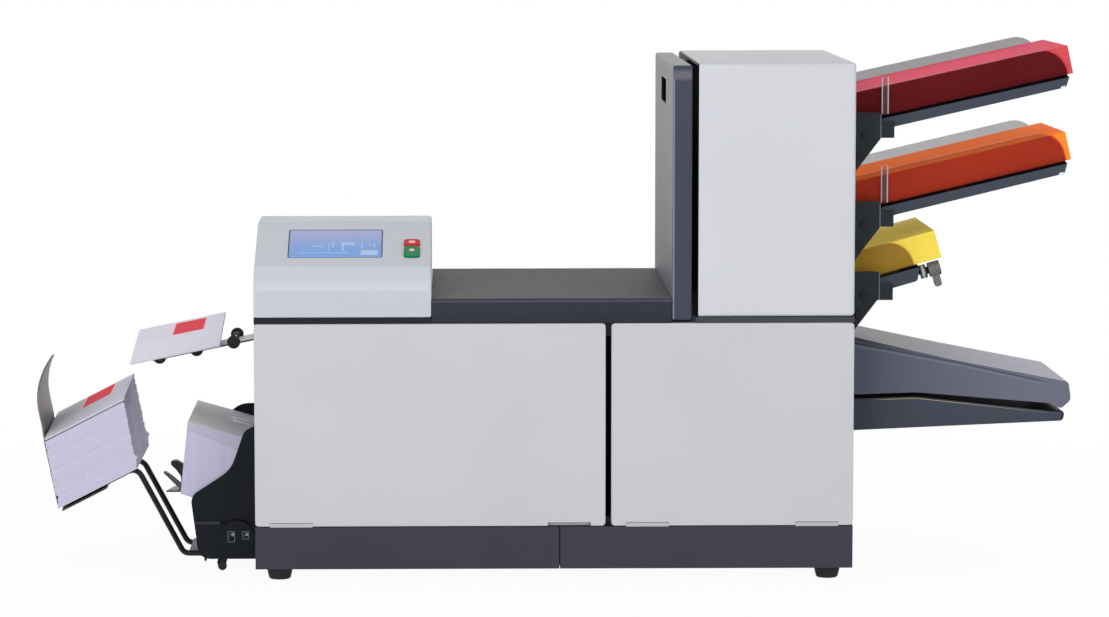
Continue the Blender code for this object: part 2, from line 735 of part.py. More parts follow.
def hinge_notch(body, low_x, high_x, y, z, base_z):
    """Cut a hinge's notch and its two pin bores out of a cover's edge."""
    reach = SKIN / 2 + OVERRUN
    notch_top = z + HINGE_BARREL_RADIUS + 2 * BORE_GAP
    notch = box("hinge_notch", (low_x - BORE_GAP, y - reach, base_z - OVERRUN),
                (high_x + BORE_GAP, y + reach, notch_top))
    bore_reach = HINGE_PIN_LENGTH + BORE_GAP
    bore = rod("hinge_bore", Vector((low_x - bore_reach, y, z)), Vector((high_x + bore_reach, y, z)),
               HINGE_PIN_RADIUS + BORE_GAP, sides=SMALL_SIDES)
    return cut(body, notch, bore)


# Doors and plinth: the front is two drop-front doors over two plinth trays
LEFT_DOOR = (LEFT_END, DOOR_SEAM_X - DOOR_SEAM_WIDTH / 2)
RIGHT_DOOR = (DOOR_SEAM_X + DOOR_SEAM_WIDTH / 2, RIGHT_END)


def tray_panel(name, low_x, high_x, front_y, back_y, pocket_front, pocket_back, paint):
    """An upright panel with returns all round, moulded like a shallow tray."""
    panel = extrude(name, rectangle(low_x, DOOR_BASE, high_x, DOOR_TOP, CORNER_RADIUS),
                    SIDE_VIEW, front_y, back_y, paint)
    soften_edges(panel, EDGE_RADIUS)
    pocket = box(name + "_pocket", (low_x + SKIN, pocket_front, DOOR_BASE + SKIN),
                 (high_x - SKIN, pocket_back, DOOR_TOP - SKIN))
    return cut(panel, pocket)


def make_doors():
    for name, (low_x, high_x) in (("door_left", LEFT_DOOR), ("door_right", RIGHT_DOOR)):
        door = tray_panel(name, low_x, high_x, -HALF_DEPTH, -HALF_DEPTH + DOOR_RETURN,
                          -HALF_DEPTH + SKIN, -HALF_DEPTH + DOOR_RETURN + OVERRUN, WHITE)
        for first, last in hinge_places(low_x, high_x):
            hinge_notch(door, first, last, HINGE_Y, HINGE_Z, DOOR_BASE)


def make_plinth():
    halves = {"plinth_left": (LEFT_END, PLINTH_SEAM_X - PANEL_GAP / 2),
              "plinth_right": (PLINTH_SEAM_X + PANEL_GAP / 2, RIGHT_END)}
    hinges = hinge_places(*LEFT_DOOR) + hinge_places(*RIGHT_DOOR)
    for name, (low_x, high_x) in halves.items():
        tray = extrude(name, rectangle(low_x, -HALF_DEPTH, high_x, HALF_DEPTH, EDGE_RADIUS),
                       PLAN_VIEW, FOOT_HEIGHT, PLINTH_TOP, SLATE)
        left_wall = SKIN if low_x == LEFT_END else -OVERRUN
        right_wall = SKIN if high_x == RIGHT_END else -OVERRUN
        pocket = box(name + "_pocket", (low_x + left_wall, -HALF_DEPTH + SKIN, PLINTH_FLOOR),
                     (high_x - right_wall, HALF_DEPTH - SKIN, PLINTH_TOP + OVERRUN))
        cut(tray, pocket)
        for first, last in hinges:
            if low_x < first and last < high_x:
                hinge_barrel(tray, first, last, HINGE_Y, HINGE_Z, PLINTH_TOP - WELD_DEPTH)


# Back and end panels
def make_rear_cover():
    tray_panel("rear_cover", LEFT_END, RIGHT_END, HALF_DEPTH - DOOR_RETURN, HALF_DEPTH,
               HALF_DEPTH - DOOR_RETURN - OVERRUN, HALF_DEPTH - SKIN, WHITE)


END_PANEL_Y = HALF_DEPTH - DOOR_RETURN - PANEL_GAP / 2


EXIT = falling_frame(LEFT_END - EXIT_SHAFT_REACH, EXIT_SHAFT_Z, EXIT_SLOPE)
EXIT_DECK_INNER_U = -(EXIT_SHAFT_REACH + EXIT_DECK_ROOT)
EXIT_SLOT_BASE = EXIT_SHAFT_Z + EXIT_SHAFT_REACH * tan(EXIT_SLOPE) - EXIT_DECK_BOTTOM - 2 * SEAT_GAP

STRIP_PIVOT_X = LEFT_END + SHELL + STRIP_PIVOT_INSET
HOPPER_STACK_RIGHT = LEFT_END - HOPPER_STACK_END_GAP


def hopper_stack_top(x):
    """Height of the envelope stack's upper face at a place along the machine."""
    left = LEFT_END - HOPPER_REACH - CHEEK_THICKNESS
    return HOPPER_STACK_TOP - (x - left) * tan(HOPPER_STACK_SLOPE)


STRIP_PIVOT_Z = hopper_stack_top(STRIP_PIVOT_X) + STRIP_BARREL_RADIUS + 2 * SEAT_GAP


def make_end_panels():
    left = box("left_end_panel", (LEFT_END, -END_PANEL_Y, DOOR_BASE),
               (LEFT_END + SHELL, END_PANEL_Y, DOOR_TOP),
               DARK)
    exit_slot = box("exit_slot", (LEFT_END - OVERRUN, -EXIT_SLOT_HALF_WIDTH, EXIT_SLOT_BASE),
                    (LEFT_END + SHELL + OVERRUN, EXIT_SLOT_HALF_WIDTH, EXIT_SLOT_BASE + EXIT_SLOT_HEIGHT))
    hopper_window = box("hopper_window", (LEFT_END - OVERRUN, -HOPPER_WINDOW_HALF_WIDTH, HOPPER_WINDOW_BASE),
                        (LEFT_END + SHELL + OVERRUN, HOPPER_WINDOW_HALF_WIDTH, HOPPER_WINDOW_TOP))
    cut(left, exit_slot, hopper_window)
    right = box("right_end_panel", (RIGHT_END - SHELL, -END_PANEL_Y, DOOR_BASE),
                (RIGHT_END, END_PANEL_Y, DOOR_TOP),
                SLATE)
    sheet_window = box("sheet_window", (RIGHT_END - SHELL - OVERRUN, -SHELL_HALF_WIDTH + SKIN,
                                        SHELL_CREST - SKIN),
                       (RIGHT_END + OVERRUN, SHELL_HALF_WIDTH - SKIN,
                        SHELL_UPPER_ROOT_TOP - SHELL_ROOF_RADIUS))
    cut(right, sheet_window)
    return left, right


# Frame plates: two sheets of steel that carry the shafts
def frame_outline():
    """An L: low under the lid and the pod, tall in the tower."""
    left = LEFT_END + FRAME_INSET
    right = RIGHT_END - FRAME_INSET
    tower = TOWER_LEFT + FRAME_INSET
    low = PLINTH_FLOOR + SEAT_GAP
    step = DECK_BASE - SEAT_GAP
    top = TOWER_TOP - FRAME_TOP_GAP
    return rounded([(left, low, 0), (right, low, 0), (right, top, CORNER_RADIUS), (tower, top, CORNER_RADIUS),
                    (tower, step, 0), (left, step, CORNER_RADIUS)])


def frame_windows():
    """Lightening windows of a frame plate as (low x, low z, high x, high z)."""
    left = LEFT_END + FRAME_INSET
    right = RIGHT_END - FRAME_INSET
    span = right - left
    low = PLINTH_TOP + FRAME_INSET
    high = DECK_BASE - 2 * FRAME_INSET
    windows = []
    for start_share, end_share in FRAME_WINDOW_SHARES:
        windows.append((left + span * start_share, low, left + span * end_share, high))
    tower = TOWER_LEFT + 2 * FRAME_INSET
    tower_right = RIGHT_END - 2 * FRAME_INSET
    upper = UPPER_BASE + 2 * FRAME_INSET
    top = TOWER_TOP - FRAME_TOP_GAP - FRAME_INSET
    lower_share, upper_share = TOWER_WINDOW_SHARES
    windows.append((tower + 4 * FRAME_INSET, upper, tower_right, upper + (top - upper) * lower_share))
    windows.append((tower + 4 * FRAME_INSET, upper + (top - upper) * upper_share, tower_right, top))
    return windows


def make_frames():
    wheel_x, wheel_z = hand_wheel_place()
    bores = [(FOLD_ROLLER_X, FOLD_ROLLER_Z, FOLD_AXLE_RADIUS),
             (FOLD_ROLLER_X, FOLD_ROLLER_Z + fold_gear_pitch(), FOLD_AXLE_RADIUS),
             (RISER_ROLLER_X, RISER_ROLLER_Z, RISER_AXLE_RADIUS)]
    for name, low_y, high_y in (("frame_front", -FRAME_FACE_Y, -FRAME_FACE_Y + PLATE),
                                ("frame_rear", FRAME_FACE_Y - PLATE, FRAME_FACE_Y)):
        plate = extrude(name, frame_outline(), SIDE_VIEW, low_y, high_y, STEEL)
        plate_bores = bores + ([(wheel_x, wheel_z, HAND_AXLE_RADIUS)] if name == "frame_front" else [])
        for low_x, low_z, high_x, high_z in frame_windows():
            if name == "frame_front" and low_x < wheel_x + FRAME_INSET < high_x and low_z < wheel_z < high_z:
                high_x = wheel_x - 2 * FRAME_INSET
            cut(plate, extrude("frame_window", rectangle(low_x, low_z, high_x, high_z, FRAME_WINDOW_RADIUS,
                                                         2),
                               SIDE_VIEW, low_y - OVERRUN, high_y + OVERRUN))
        for x, z, radius in plate_bores:
            cut(plate, rod("frame_bore", Vector((x, low_y - OVERRUN, z)), Vector((x, high_y + OVERRUN, z)),
                           radius + BORE_GAP))


# Deck: the shelf between the cabinet and what stands on it
def make_deck():
    recess = HALF_DEPTH - SKIN - FRAME_INSET / 2
    lid_end = TOWER_LEFT - PANEL_GAP
    outline = [(LEFT_END, -HALF_DEPTH), (POD_RIGHT, -HALF_DEPTH), (POD_RIGHT, -recess), (lid_end, -recess),
               (lid_end, -HALF_DEPTH), (RIGHT_END, -HALF_DEPTH), (RIGHT_END, HALF_DEPTH),
               (lid_end, HALF_DEPTH),
               (lid_end, recess), (COLLATOR_LEFT, recess), (COLLATOR_LEFT, HALF_DEPTH),
               (LEFT_END, HALF_DEPTH)]
    deck = extrude("deck", outline, PLAN_VIEW, DECK_BASE, DECK_TOP, SLATE)
    tower = TOWER_LEFT + FRAME_INSET
    for low_y in (-FRAME_FACE_Y, FRAME_FACE_Y - PLATE):
        cut(deck, box("frame_slot", (tower - BORE_GAP, low_y - BORE_GAP, DECK_BASE - OVERRUN),
                      (RIGHT_END - FRAME_INSET + BORE_GAP, low_y + PLATE + BORE_GAP, DECK_TOP + OVERRUN)))
    for centre_x in lid_hinge_places():
        hinge_barrel(deck, centre_x - HINGE_TAB_LENGTH / 2, centre_x + HINGE_TAB_LENGTH / 2,
                     LID_HINGE_Y, LID_HINGE_Z, DECK_TOP - WELD_DEPTH)
    add_roller_ears(deck)
    add_collator_forks(deck)


def lid_hinge_places():
    middle = (POD_RIGHT + COLLATOR_LEFT) / 2
    return (middle - LID_HINGE_SPREAD, middle + LID_HINGE_SPREAD)


def add_roller_ears(deck):
    """Bearing ears for the roller under the lid."""
    radius = TRANSPORT_AXLE_RADIUS + BORE_GAP + ROLLER_EAR_MARGIN
    base = DECK_TOP - WELD_DEPTH
    outline = rounded([(TRANSPORT_ROLLER_X - radius, base, 0), (TRANSPORT_ROLLER_X + radius, base, 0),
                       (TRANSPORT_ROLLER_X + radius, TRANSPORT_AXLE_Z + radius, radius),
                       (TRANSPORT_ROLLER_X - radius, TRANSPORT_AXLE_Z + radius, radius)])
    start = TRANSPORT_ROLLER_REACH + ROLLER_END_GAP
    for low_y in (-start - ROLLER_EAR_WIDTH, start):
        weld(deck, extrude("roller_ear", outline, SIDE_VIEW, low_y, low_y + ROLLER_EAR_WIDTH))
        cut(deck, rod("ear_bore", Vector((TRANSPORT_ROLLER_X, low_y - OVERRUN, TRANSPORT_AXLE_Z)),
                      Vector((TRANSPORT_ROLLER_X, low_y + ROLLER_EAR_WIDTH + OVERRUN, TRANSPORT_AXLE_Z)),
                      TRANSPORT_AXLE_RADIUS + BORE_GAP))


def add_collator_forks(deck):
    """Two upright forks that guide the collator door's rod when the door is lifted."""
    slot = COLLATOR_ROD_RADIUS + BORE_GAP
    half = slot + FORK_ARM
    top = COLLATOR_ROD_Z + COLLATOR_TRAVEL + half
    for middle_y in (-FORK_REACH, FORK_REACH):
        low_y = middle_y - FORK_WIDTH / 2
        high_y = middle_y + FORK_WIDTH / 2
        weld(deck, box("collator_fork", (COLLATOR_ROD_X - half, low_y, DECK_TOP - WELD_DEPTH),
                       (COLLATOR_ROD_X + half, high_y, top)))
        cut(deck, box("fork_slot", (COLLATOR_ROD_X - slot, low_y - OVERRUN, COLLATOR_ROD_Z),
                      (COLLATOR_ROD_X + slot, high_y + OVERRUN, top + OVERRUN)),
            rod("fork_seat", Vector((COLLATOR_ROD_X, low_y - OVERRUN, COLLATOR_ROD_Z)),
                Vector((COLLATOR_ROD_X, high_y + OVERRUN, COLLATOR_ROD_Z)), slot))


# Control pod with its screen and two buttons
POD_BASE = UPPER_BASE
POD_BROW = Vector((-HALF_DEPTH + POD_BROW_DEPTH, POD_BASE + POD_BROW_HEIGHT))
POD_CREST = Vector((-HALF_DEPTH + POD_CREST_DEPTH, POD_BASE + POD_HEIGHT))


def pod_face_frame():
    """Frame on the sloping face: along X, up the face, and out of it."""
    rise = (POD_CREST - POD_BROW).normalized()
    up_face = Vector((0, rise.x, rise.y))
    outward = X_AXIS.cross(up_face)
    return (Vector((LEFT_END, POD_BROW.x, POD_BROW.y)), X_AXIS, up_face, outward)


POD_FACE = pod_face_frame()
STOP_BUTTON_START = BUTTON_START + START_BUTTON_DEPTH + BUTTON_CLEARANCE


def make_control_pod():
    profile = rounded([(-HALF_DEPTH, POD_BASE, 0), (-HALF_DEPTH, POD_BASE + POD_BAND_HEIGHT, POD_BROW_RADIUS),
                       (POD_BROW.x, POD_BROW.y, 0), (POD_CREST.x, POD_CREST.y, POD_CREST_RADIUS),
                       (-HALF_DEPTH + POD_RIDGE_DEPTH, POD_CREST.y, POD_CREST_RADIUS),
                       (HALF_DEPTH, POD_BASE + POD_TAIL_HEIGHT, CORNER_RADIUS), (HALF_DEPTH, POD_BASE, 0)])
    pod = extrude("control_pod", profile, END_VIEW, LEFT_END, POD_RIGHT, WHITE)
    soften_edges(pod, POD_EDGE_RADIUS)
    screen_low = SCREEN_INSET
    recess = rectangle(screen_low - SEAT_GAP, SCREEN_START - SEAT_GAP, screen_low + SCREEN_LENGTH + SEAT_GAP,
                       SCREEN_START + SCREEN_HEIGHT + SEAT_GAP, SCREEN_RADIUS)
    cut(pod, extrude("screen_recess", recess, POD_FACE, -SCREEN_RECESS, OVERRUN))
    glass = rectangle(screen_low, SCREEN_START, screen_low + SCREEN_LENGTH, SCREEN_START + SCREEN_HEIGHT,
                      SCREEN_RADIUS)
    extrude("display_panel", glass, POD_FACE, -SCREEN_RECESS + SEAT_GAP,
            -SCREEN_RECESS + SEAT_GAP + SCREEN_THICKNESS, SCREEN)
    button_high = POD_LENGTH - BUTTON_INSET
    for name, start, depth, paint in (("start_button", BUTTON_START, START_BUTTON_DEPTH, GREEN_BUTTON),
                                      ("stop_button", STOP_BUTTON_START, STOP_BUTTON_DEPTH, RED_BUTTON)):
        well = rectangle(button_high - BUTTON_LENGTH - BORE_GAP, start - BORE_GAP, button_high + BORE_GAP,
                         start + depth + BORE_GAP, BUTTON_RADIUS)
        well_floor = -(BUTTON_BODY - BUTTON_RISE + BUTTON_TRAVEL + SEAT_GAP)
        cut(pod, extrude("button_well", well, POD_FACE, well_floor, OVERRUN))
        cap = rectangle(button_high - BUTTON_LENGTH, start, button_high, start + depth, BUTTON_RADIUS)
        button = extrude(name, cap, POD_FACE, BUTTON_RISE - BUTTON_BODY, BUTTON_RISE, paint)
        soften_edges(button, EDGE_RADIUS / 2)


# Transport lid: the low cover between the pod and the tower, hinged at the back
LID_LEFT = POD_RIGHT + LID_GAP
LID_RIGHT = COLLATOR_LEFT - LID_GAP


def make_transport_lid():
    base = DECK_BASE + LID_GAP
    rear_base = DECK_TOP + PANEL_GAP
    profile = rounded([(-HALF_DEPTH, base, 0), (-HALF_DEPTH, LID_TOP, LID_EDGE_RADIUS),
                       (HALF_DEPTH, LID_TOP, LID_EDGE_RADIUS), (HALF_DEPTH, rear_base, 0),
                       (HALF_DEPTH - SKIN, rear_base, 0), (HALF_DEPTH - SKIN, DECK_TOP + 2 * PANEL_GAP, 0),
                       (-HALF_DEPTH + SKIN, DECK_TOP + 2 * PANEL_GAP, 0), (-HALF_DEPTH + SKIN, base, 0)])
    lid = extrude("transport_lid", profile, END_VIEW, LID_LEFT, LID_RIGHT, SLATE)
    cut(lid, box("lid_pocket", (LID_LEFT + SHELL, -HALF_DEPTH + SKIN, DECK_BASE),
                 (LID_RIGHT - SHELL, HALF_DEPTH - SKIN, LID_TOP - SHELL)))
    for centre_x in lid_hinge_places():
        hinge_notch(lid, centre_x - HINGE_TAB_LENGTH / 2, centre_x + HINGE_TAB_LENGTH / 2,
                    LID_HINGE_Y, LID_HINGE_Z, rear_base)


def make_transport_roller():
    reach = TRANSPORT_ROLLER_REACH
    end = reach + ROLLER_END_GAP + ROLLER_EAR_WIDTH
    profile = [(TRANSPORT_AXLE_RADIUS, -end), (TRANSPORT_AXLE_RADIUS, -reach),
               (TRANSPORT_ROLLER_RADIUS, -reach),
               (TRANSPORT_ROLLER_RADIUS, reach), (TRANSPORT_AXLE_RADIUS, reach), (TRANSPORT_AXLE_RADIUS, end)]
    turned("transport_roller", profile, Vector((TRANSPORT_ROLLER_X, 0, TRANSPORT_AXLE_Z)), Y_AXIS, RUBBER)


# Tower: a white shell over the sheet feeders' drives, and the collator door beside it
FEEDERS = {
    "top": (TOP_FEEDER_HEIGHT, TOP_FEEDER_SLOPE),
    "middle": (MIDDLE_FEEDER_HEIGHT, MIDDLE_FEEDER_SLOPE),
    "short": (SHORT_FEEDER_HEIGHT, SHORT_FEEDER_SLOPE),
}


def make_tower_cover():
    shell = box("tower_cover", (TOWER_LEFT, -HALF_DEPTH, UPPER_BASE), (RIGHT_END, HALF_DEPTH, TOWER_TOP),
                WHITE)
    soften_edges(shell, TOWER_EDGE_RADIUS, 3)
    cut(shell, box("tower_pocket", (TOWER_LEFT - OVERRUN, -HALF_DEPTH + SHELL, UPPER_BASE - OVERRUN),
                   (RIGHT_END - SHELL, HALF_DEPTH - SHELL, TOWER_TOP - SHELL)))
    for height, _ in FEEDERS.values():
        low_z = height - PANEL_GAP
        cut(shell, box("throat", (RIGHT_END - SHELL - OVERRUN, -THROAT_WIDTH / 2, low_z),
                       (RIGHT_END + OVERRUN, THROAT_WIDTH / 2, low_z + THROAT_HEIGHT)))


def make_collator_door():
    base = DECK_BASE + COLLATOR_FRONT_DROP
    top = TOWER_TOP - COLLATOR_STEP
    door = box("collator_door", (COLLATOR_LEFT, -HALF_DEPTH, base), (COLLATOR_RIGHT, HALF_DEPTH, top), SLATE)
    soften_edges(door, COLLATOR_EDGE_RADIUS)
    pocket = [(COLLATOR_LEFT - OVERRUN, base - OVERRUN), (COLLATOR_RIGHT + OVERRUN, base - OVERRUN),
              (COLLATOR_RIGHT + OVERRUN, top - SHELL), (COLLATOR_LEFT + SHELL, top - SHELL),
              (COLLATOR_LEFT + SHELL, DECK_TOP + SKIN), (COLLATOR_LEFT - OVERRUN, DECK_TOP + SKIN)]
    cut(door, extrude("collator_pocket", pocket, SIDE_VIEW, -HALF_DEPTH + SHELL, HALF_DEPTH - SHELL))
    hole_top = top - HAND_HOLE_DROP
    hole = rounded([(-HAND_HOLE_WIDTH / 2, hole_top - HAND_HOLE_HEIGHT, CORNER_RADIUS),
                    (HAND_HOLE_WIDTH / 2, hole_top - HAND_HOLE_HEIGHT, CORNER_RADIUS),
                    (HAND_HOLE_WIDTH / 2, hole_top, CORNER_RADIUS),
                    (-HAND_HOLE_WIDTH / 2, hole_top, CORNER_RADIUS)])
    cut(door, extrude("hand_hole", hole, END_VIEW, COLLATOR_LEFT - OVERRUN, COLLATOR_LEFT + SHELL + OVERRUN))
    reach = HALF_DEPTH - SHELL + WELD_DEPTH
    weld(door, rod("collator_rod", Vector((COLLATOR_ROD_X, -reach, COLLATOR_ROD_Z)),
                   Vector((COLLATOR_ROD_X, reach, COLLATOR_ROD_Z)), COLLATOR_ROD_RADIUS))


# Rollers and gears
def fold_gear_pitch():
    """Pitch diameter of a fold roller's gear, which is the distance between the two rollers."""
    return GEAR_MODULE * FOLD_GEAR_TEETH


def hand_wheel_place():
    """The hand wheel's gear meshes with the lower fold roller's gear, on its left."""
    distance = GEAR_MODULE * (FOLD_GEAR_TEETH + WHEEL_GEAR_TEETH) / 2
    return FOLD_ROLLER_X - distance, FOLD_ROLLER_Z


def turned_outline(outline, angle):
    """An outline turned about its origin."""
    return [Vector((u * cos(angle) - v * sin(angle), u * sin(angle) + v * cos(angle))) for u, v in outline]


def roller(name, x, z, radius, axle_radius, paint, gear_side):
    """A roller between the frame plates, its axle ends in their bores."""
    body_reach = FRAME_FACE_Y - PLATE - ROLLER_END_GAP
    end = FRAME_FACE_Y + AXLE_OVERHANG
    front = FRAME_FACE_Y + GEAR_STANDOFF + GEAR_WIDTH if gear_side else end
    profile = [(axle_radius, -front), (axle_radius, -body_reach), (radius, -body_reach), (radius, body_reach),
               (axle_radius, body_reach), (axle_radius, end)]
    return turned(name, profile, Vector((x, 0, z)), Y_AXIS, paint)


def make_fold_rollers():
    radius = (fold_gear_pitch() - FOLD_NIP) / 2
    half_tooth = pi / FOLD_GEAR_TEETH
    low_y = -(FRAME_FACE_Y + GEAR_STANDOFF + GEAR_WIDTH)
    for name, z, turn in (("fold_roller_lower", FOLD_ROLLER_Z, 0),
                          ("fold_roller_upper", FOLD_ROLLER_Z + fold_gear_pitch(), half_tooth)):
        body = roller(name, FOLD_ROLLER_X, z, radius, FOLD_AXLE_RADIUS, RUBBER, True)
        hub = (Vector((FOLD_ROLLER_X, 0, z)), X_AXIS, Z_AXIS, Y_AXIS)
        weld(body, extrude("fold_gear", turned_outline(gear_outline(FOLD_GEAR_TEETH), turn), hub,
                           low_y, low_y + GEAR_WIDTH))
    roller("riser_roller", RISER_ROLLER_X, RISER_ROLLER_Z, RISER_ROLLER_RADIUS, RISER_AXLE_RADIUS, RUBBER,
           False)


def make_hand_wheel():
    x, z = hand_wheel_place()
    hub = (Vector((x, 0, z)), X_AXIS, Z_AXIS, Y_AXIS)
    gear_low = -(FRAME_FACE_Y + GEAR_STANDOFF + GEAR_WIDTH)
    half_tooth = pi / WHEEL_GEAR_TEETH
    wheel = extrude("hand_wheel", turned_outline(gear_outline(WHEEL_GEAR_TEETH), half_tooth), hub,
                    gear_low, gear_low + GEAR_WIDTH, GEAR_PLASTIC)
    disc_low = gear_low - HAND_WHEEL_WIDTH
    disc = rod("hand_disc", Vector((x, disc_low, z)), Vector((x, gear_low + WELD_DEPTH, z)),
               HAND_WHEEL_RADIUS)
    axle = rod("hand_axle", Vector((x, gear_low + WELD_DEPTH, z)),
               Vector((x, gear_low + GEAR_WIDTH + HAND_AXLE_REACH, z)),
               HAND_AXLE_RADIUS)
    weld(wheel, disc, axle)
    for notch in range(HAND_WHEEL_NOTCHES):
        angle = 2 * pi * notch / HAND_WHEEL_NOTCHES
        notch_x = x + HAND_WHEEL_RADIUS * cos(angle)
        notch_z = z + HAND_WHEEL_RADIUS * sin(angle)
        cut(wheel, rod("hand_notch", Vector((notch_x, disc_low - OVERRUN, notch_z)),
                       Vector((notch_x, gear_low - WELD_DEPTH, notch_z)), HAND_WHEEL_NOTCH_RADIUS,
                       sides=SMALL_SIDES))


def make_motor_and_tank():
    motor_end = FRAME_FACE_Y - PLATE - SEAT_GAP
    profile = [(MOTOR_BOSS_RADIUS, -MOTOR_LENGTH - MOTOR_BOSS_LENGTH), (MOTOR_BOSS_RADIUS, -MOTOR_LENGTH),
               (MOTOR_RADIUS, -MOTOR_LENGTH), (MOTOR_RADIUS, 0)]
    turned("main_motor", profile, Vector((MOTOR_X, motor_end, MOTOR_Z)), Y_AXIS, BLACK_STEEL)
    base = PLINTH_FLOOR + SEAT_GAP
    tank = box("sealer_tank", (TANK_X - TANK_LENGTH / 2, TANK_Y - TANK_DEPTH / 2, base),
               (TANK_X + TANK_LENGTH / 2, TANK_Y + TANK_DEPTH / 2, base + TANK_HEIGHT), WATER_PLASTIC)
    soften_edges(tank, TANK_EDGE_RADIUS)
    top = base + TANK_HEIGHT
    weld(tank, rod("tank_neck", Vector((TANK_X, TANK_Y, top - WELD_DEPTH)),
                   Vector((TANK_X, TANK_Y, top + TANK_NECK_HEIGHT)), TANK_NECK_RADIUS))


# Fold-plate shells: two long wedges that stand out of the right end
SHELL_ROOT = RIGHT_END + SEAT_GAP
SHELL_TIP = RIGHT_END + SHELL_REACH
SHELL_HINGE_X = SHELL_ROOT + SHELL_HINGE_RADIUS + SEAT_GAP
SHELL_HINGE_Z = SHELL_UPPER_ROOT_TOP - SHELL_HINGE_DROP


def shell_x(share):
    """A place along the shells, as a share of their reach."""
    return SHELL_ROOT + SHELL_REACH * share


def make_fold_shells(end_panel):
    crest = [(SHELL_ROOT, SHELL_CREST - SHELL_ROOT_SAG, 0),
             (shell_x(SHELL_CREST_SHARE), SHELL_CREST, SHELL_REACH / 2),
             (shell_x(SHELL_CREST_END_SHARE), SHELL_TIP_CREST, 0)]
    tip_top, tip_base = SHELL_UPPER_TIP_SHARES
    upper = [(SHELL_ROOT, SHELL_UPPER_ROOT_TOP, 0),
             (shell_x(SHELL_KNEE_SHARE), SHELL_UPPER_KNEE, SHELL_REACH / 2),
             (shell_x(tip_top), SHELL_UPPER_TIP_TOP, CORNER_RADIUS),
             (SHELL_TIP, SHELL_TIP_CREST + SKIN, 2 * CORNER_RADIUS),
             (shell_x(tip_base), SHELL_TIP_BOTTOM, CORNER_RADIUS)] + crest[::-1]

    def roof(edge):
        ends = [vertex.co for vertex in edge.verts]
        flat = all(abs(abs(point.y) - SHELL_HALF_WIDTH) < WELD_DEPTH for point in ends)
        return flat and min(point.z for point in ends) > SHELL_TIP_CREST + 2 * SKIN and \
            abs(ends[0].x - ends[1].x) > SKIN / 4 and \
            all(point.z > crest_height(point.x) + 2 * SKIN for point in ends)

    def crest_height(x):
        share = (x - SHELL_ROOT) / SHELL_REACH - SHELL_CREST_SHARE
        return SHELL_CREST + (SHELL_TIP_CREST - SHELL_CREST) * max(share, 0) / (
            SHELL_CREST_END_SHARE - SHELL_CREST_SHARE)

    upper_shell = extrude("fold_shell_upper", rounded(upper), SIDE_VIEW, -SHELL_HALF_WIDTH, SHELL_HALF_WIDTH,
                          SLATE, (roof, SHELL_ROOF_RADIUS, 3))
    ear_start = SHELL_HALF_WIDTH + SEAT_GAP
    ear_end = ear_start + SHELL_EAR_THICKNESS
    weld(upper_shell, rod("shell_hinge", Vector((SHELL_HINGE_X, -ear_end, SHELL_HINGE_Z)),
                          Vector((SHELL_HINGE_X, ear_end, SHELL_HINGE_Z)), SHELL_HINGE_RADIUS))
    reach = SHELL_HINGE_X + SHELL_EAR_HEIGHT
    ear = rounded([(RIGHT_END - WELD_DEPTH, SHELL_HINGE_Z - SHELL_EAR_HEIGHT, 0),
                   (reach, SHELL_HINGE_Z - SHELL_EAR_HEIGHT, SHELL_EAR_HEIGHT),
                   (reach, SHELL_HINGE_Z + SHELL_EAR_HEIGHT, SHELL_EAR_HEIGHT),
                   (RIGHT_END - WELD_DEPTH, SHELL_HINGE_Z + SHELL_EAR_HEIGHT, 0)])
    for ends in ((-ear_end, -ear_start), (ear_start, ear_end)):
        weld(end_panel, extrude("shell_ear", ear, SIDE_VIEW, *ends))
        cut(end_panel, rod("ear_bore", Vector((SHELL_HINGE_X, ends[0] - PANEL_GAP, SHELL_HINGE_Z)),
                           Vector((SHELL_HINGE_X, ends[1] + PANEL_GAP, SHELL_HINGE_Z)),
                           SHELL_HINGE_RADIUS + BORE_GAP))
    lower = [(x, z - SHELL_GAP, radius) for x, z, radius in crest[:2]]
    crest_end, tip_top, tip_base = SHELL_LOWER_TIP_SHARES
    lower += [(shell_x(crest_end), SHELL_LOWER_TIP_TOP, 0),
              (shell_x(tip_top), SHELL_LOWER_TIP_TOP - EDGE_RADIUS, CORNER_RADIUS),
              (shell_x(tip_base), SHELL_LOWER_TIP_BOTTOM, CORNER_RADIUS),
              (SHELL_ROOT, SHELL_LOWER_ROOT_BOTTOM, 0)]
    shell = extrude("fold_shell_lower", rounded(lower), SIDE_VIEW, -SHELL_HALF_WIDTH, SHELL_HALF_WIDTH, SLATE)
    soften_edges(shell, SKIN)


# Paper feeders
def feeder_frame(height, slope):
    """Frame of a feeder's bed: it starts at the tower's face and climbs to the right."""
    along = Vector((cos(slope), 0, sin(slope)))
    upward = Vector((-sin(slope), 0, cos(slope)))
    return (Vector((RIGHT_END, 0, height)), along, upward, Y_AXIS)


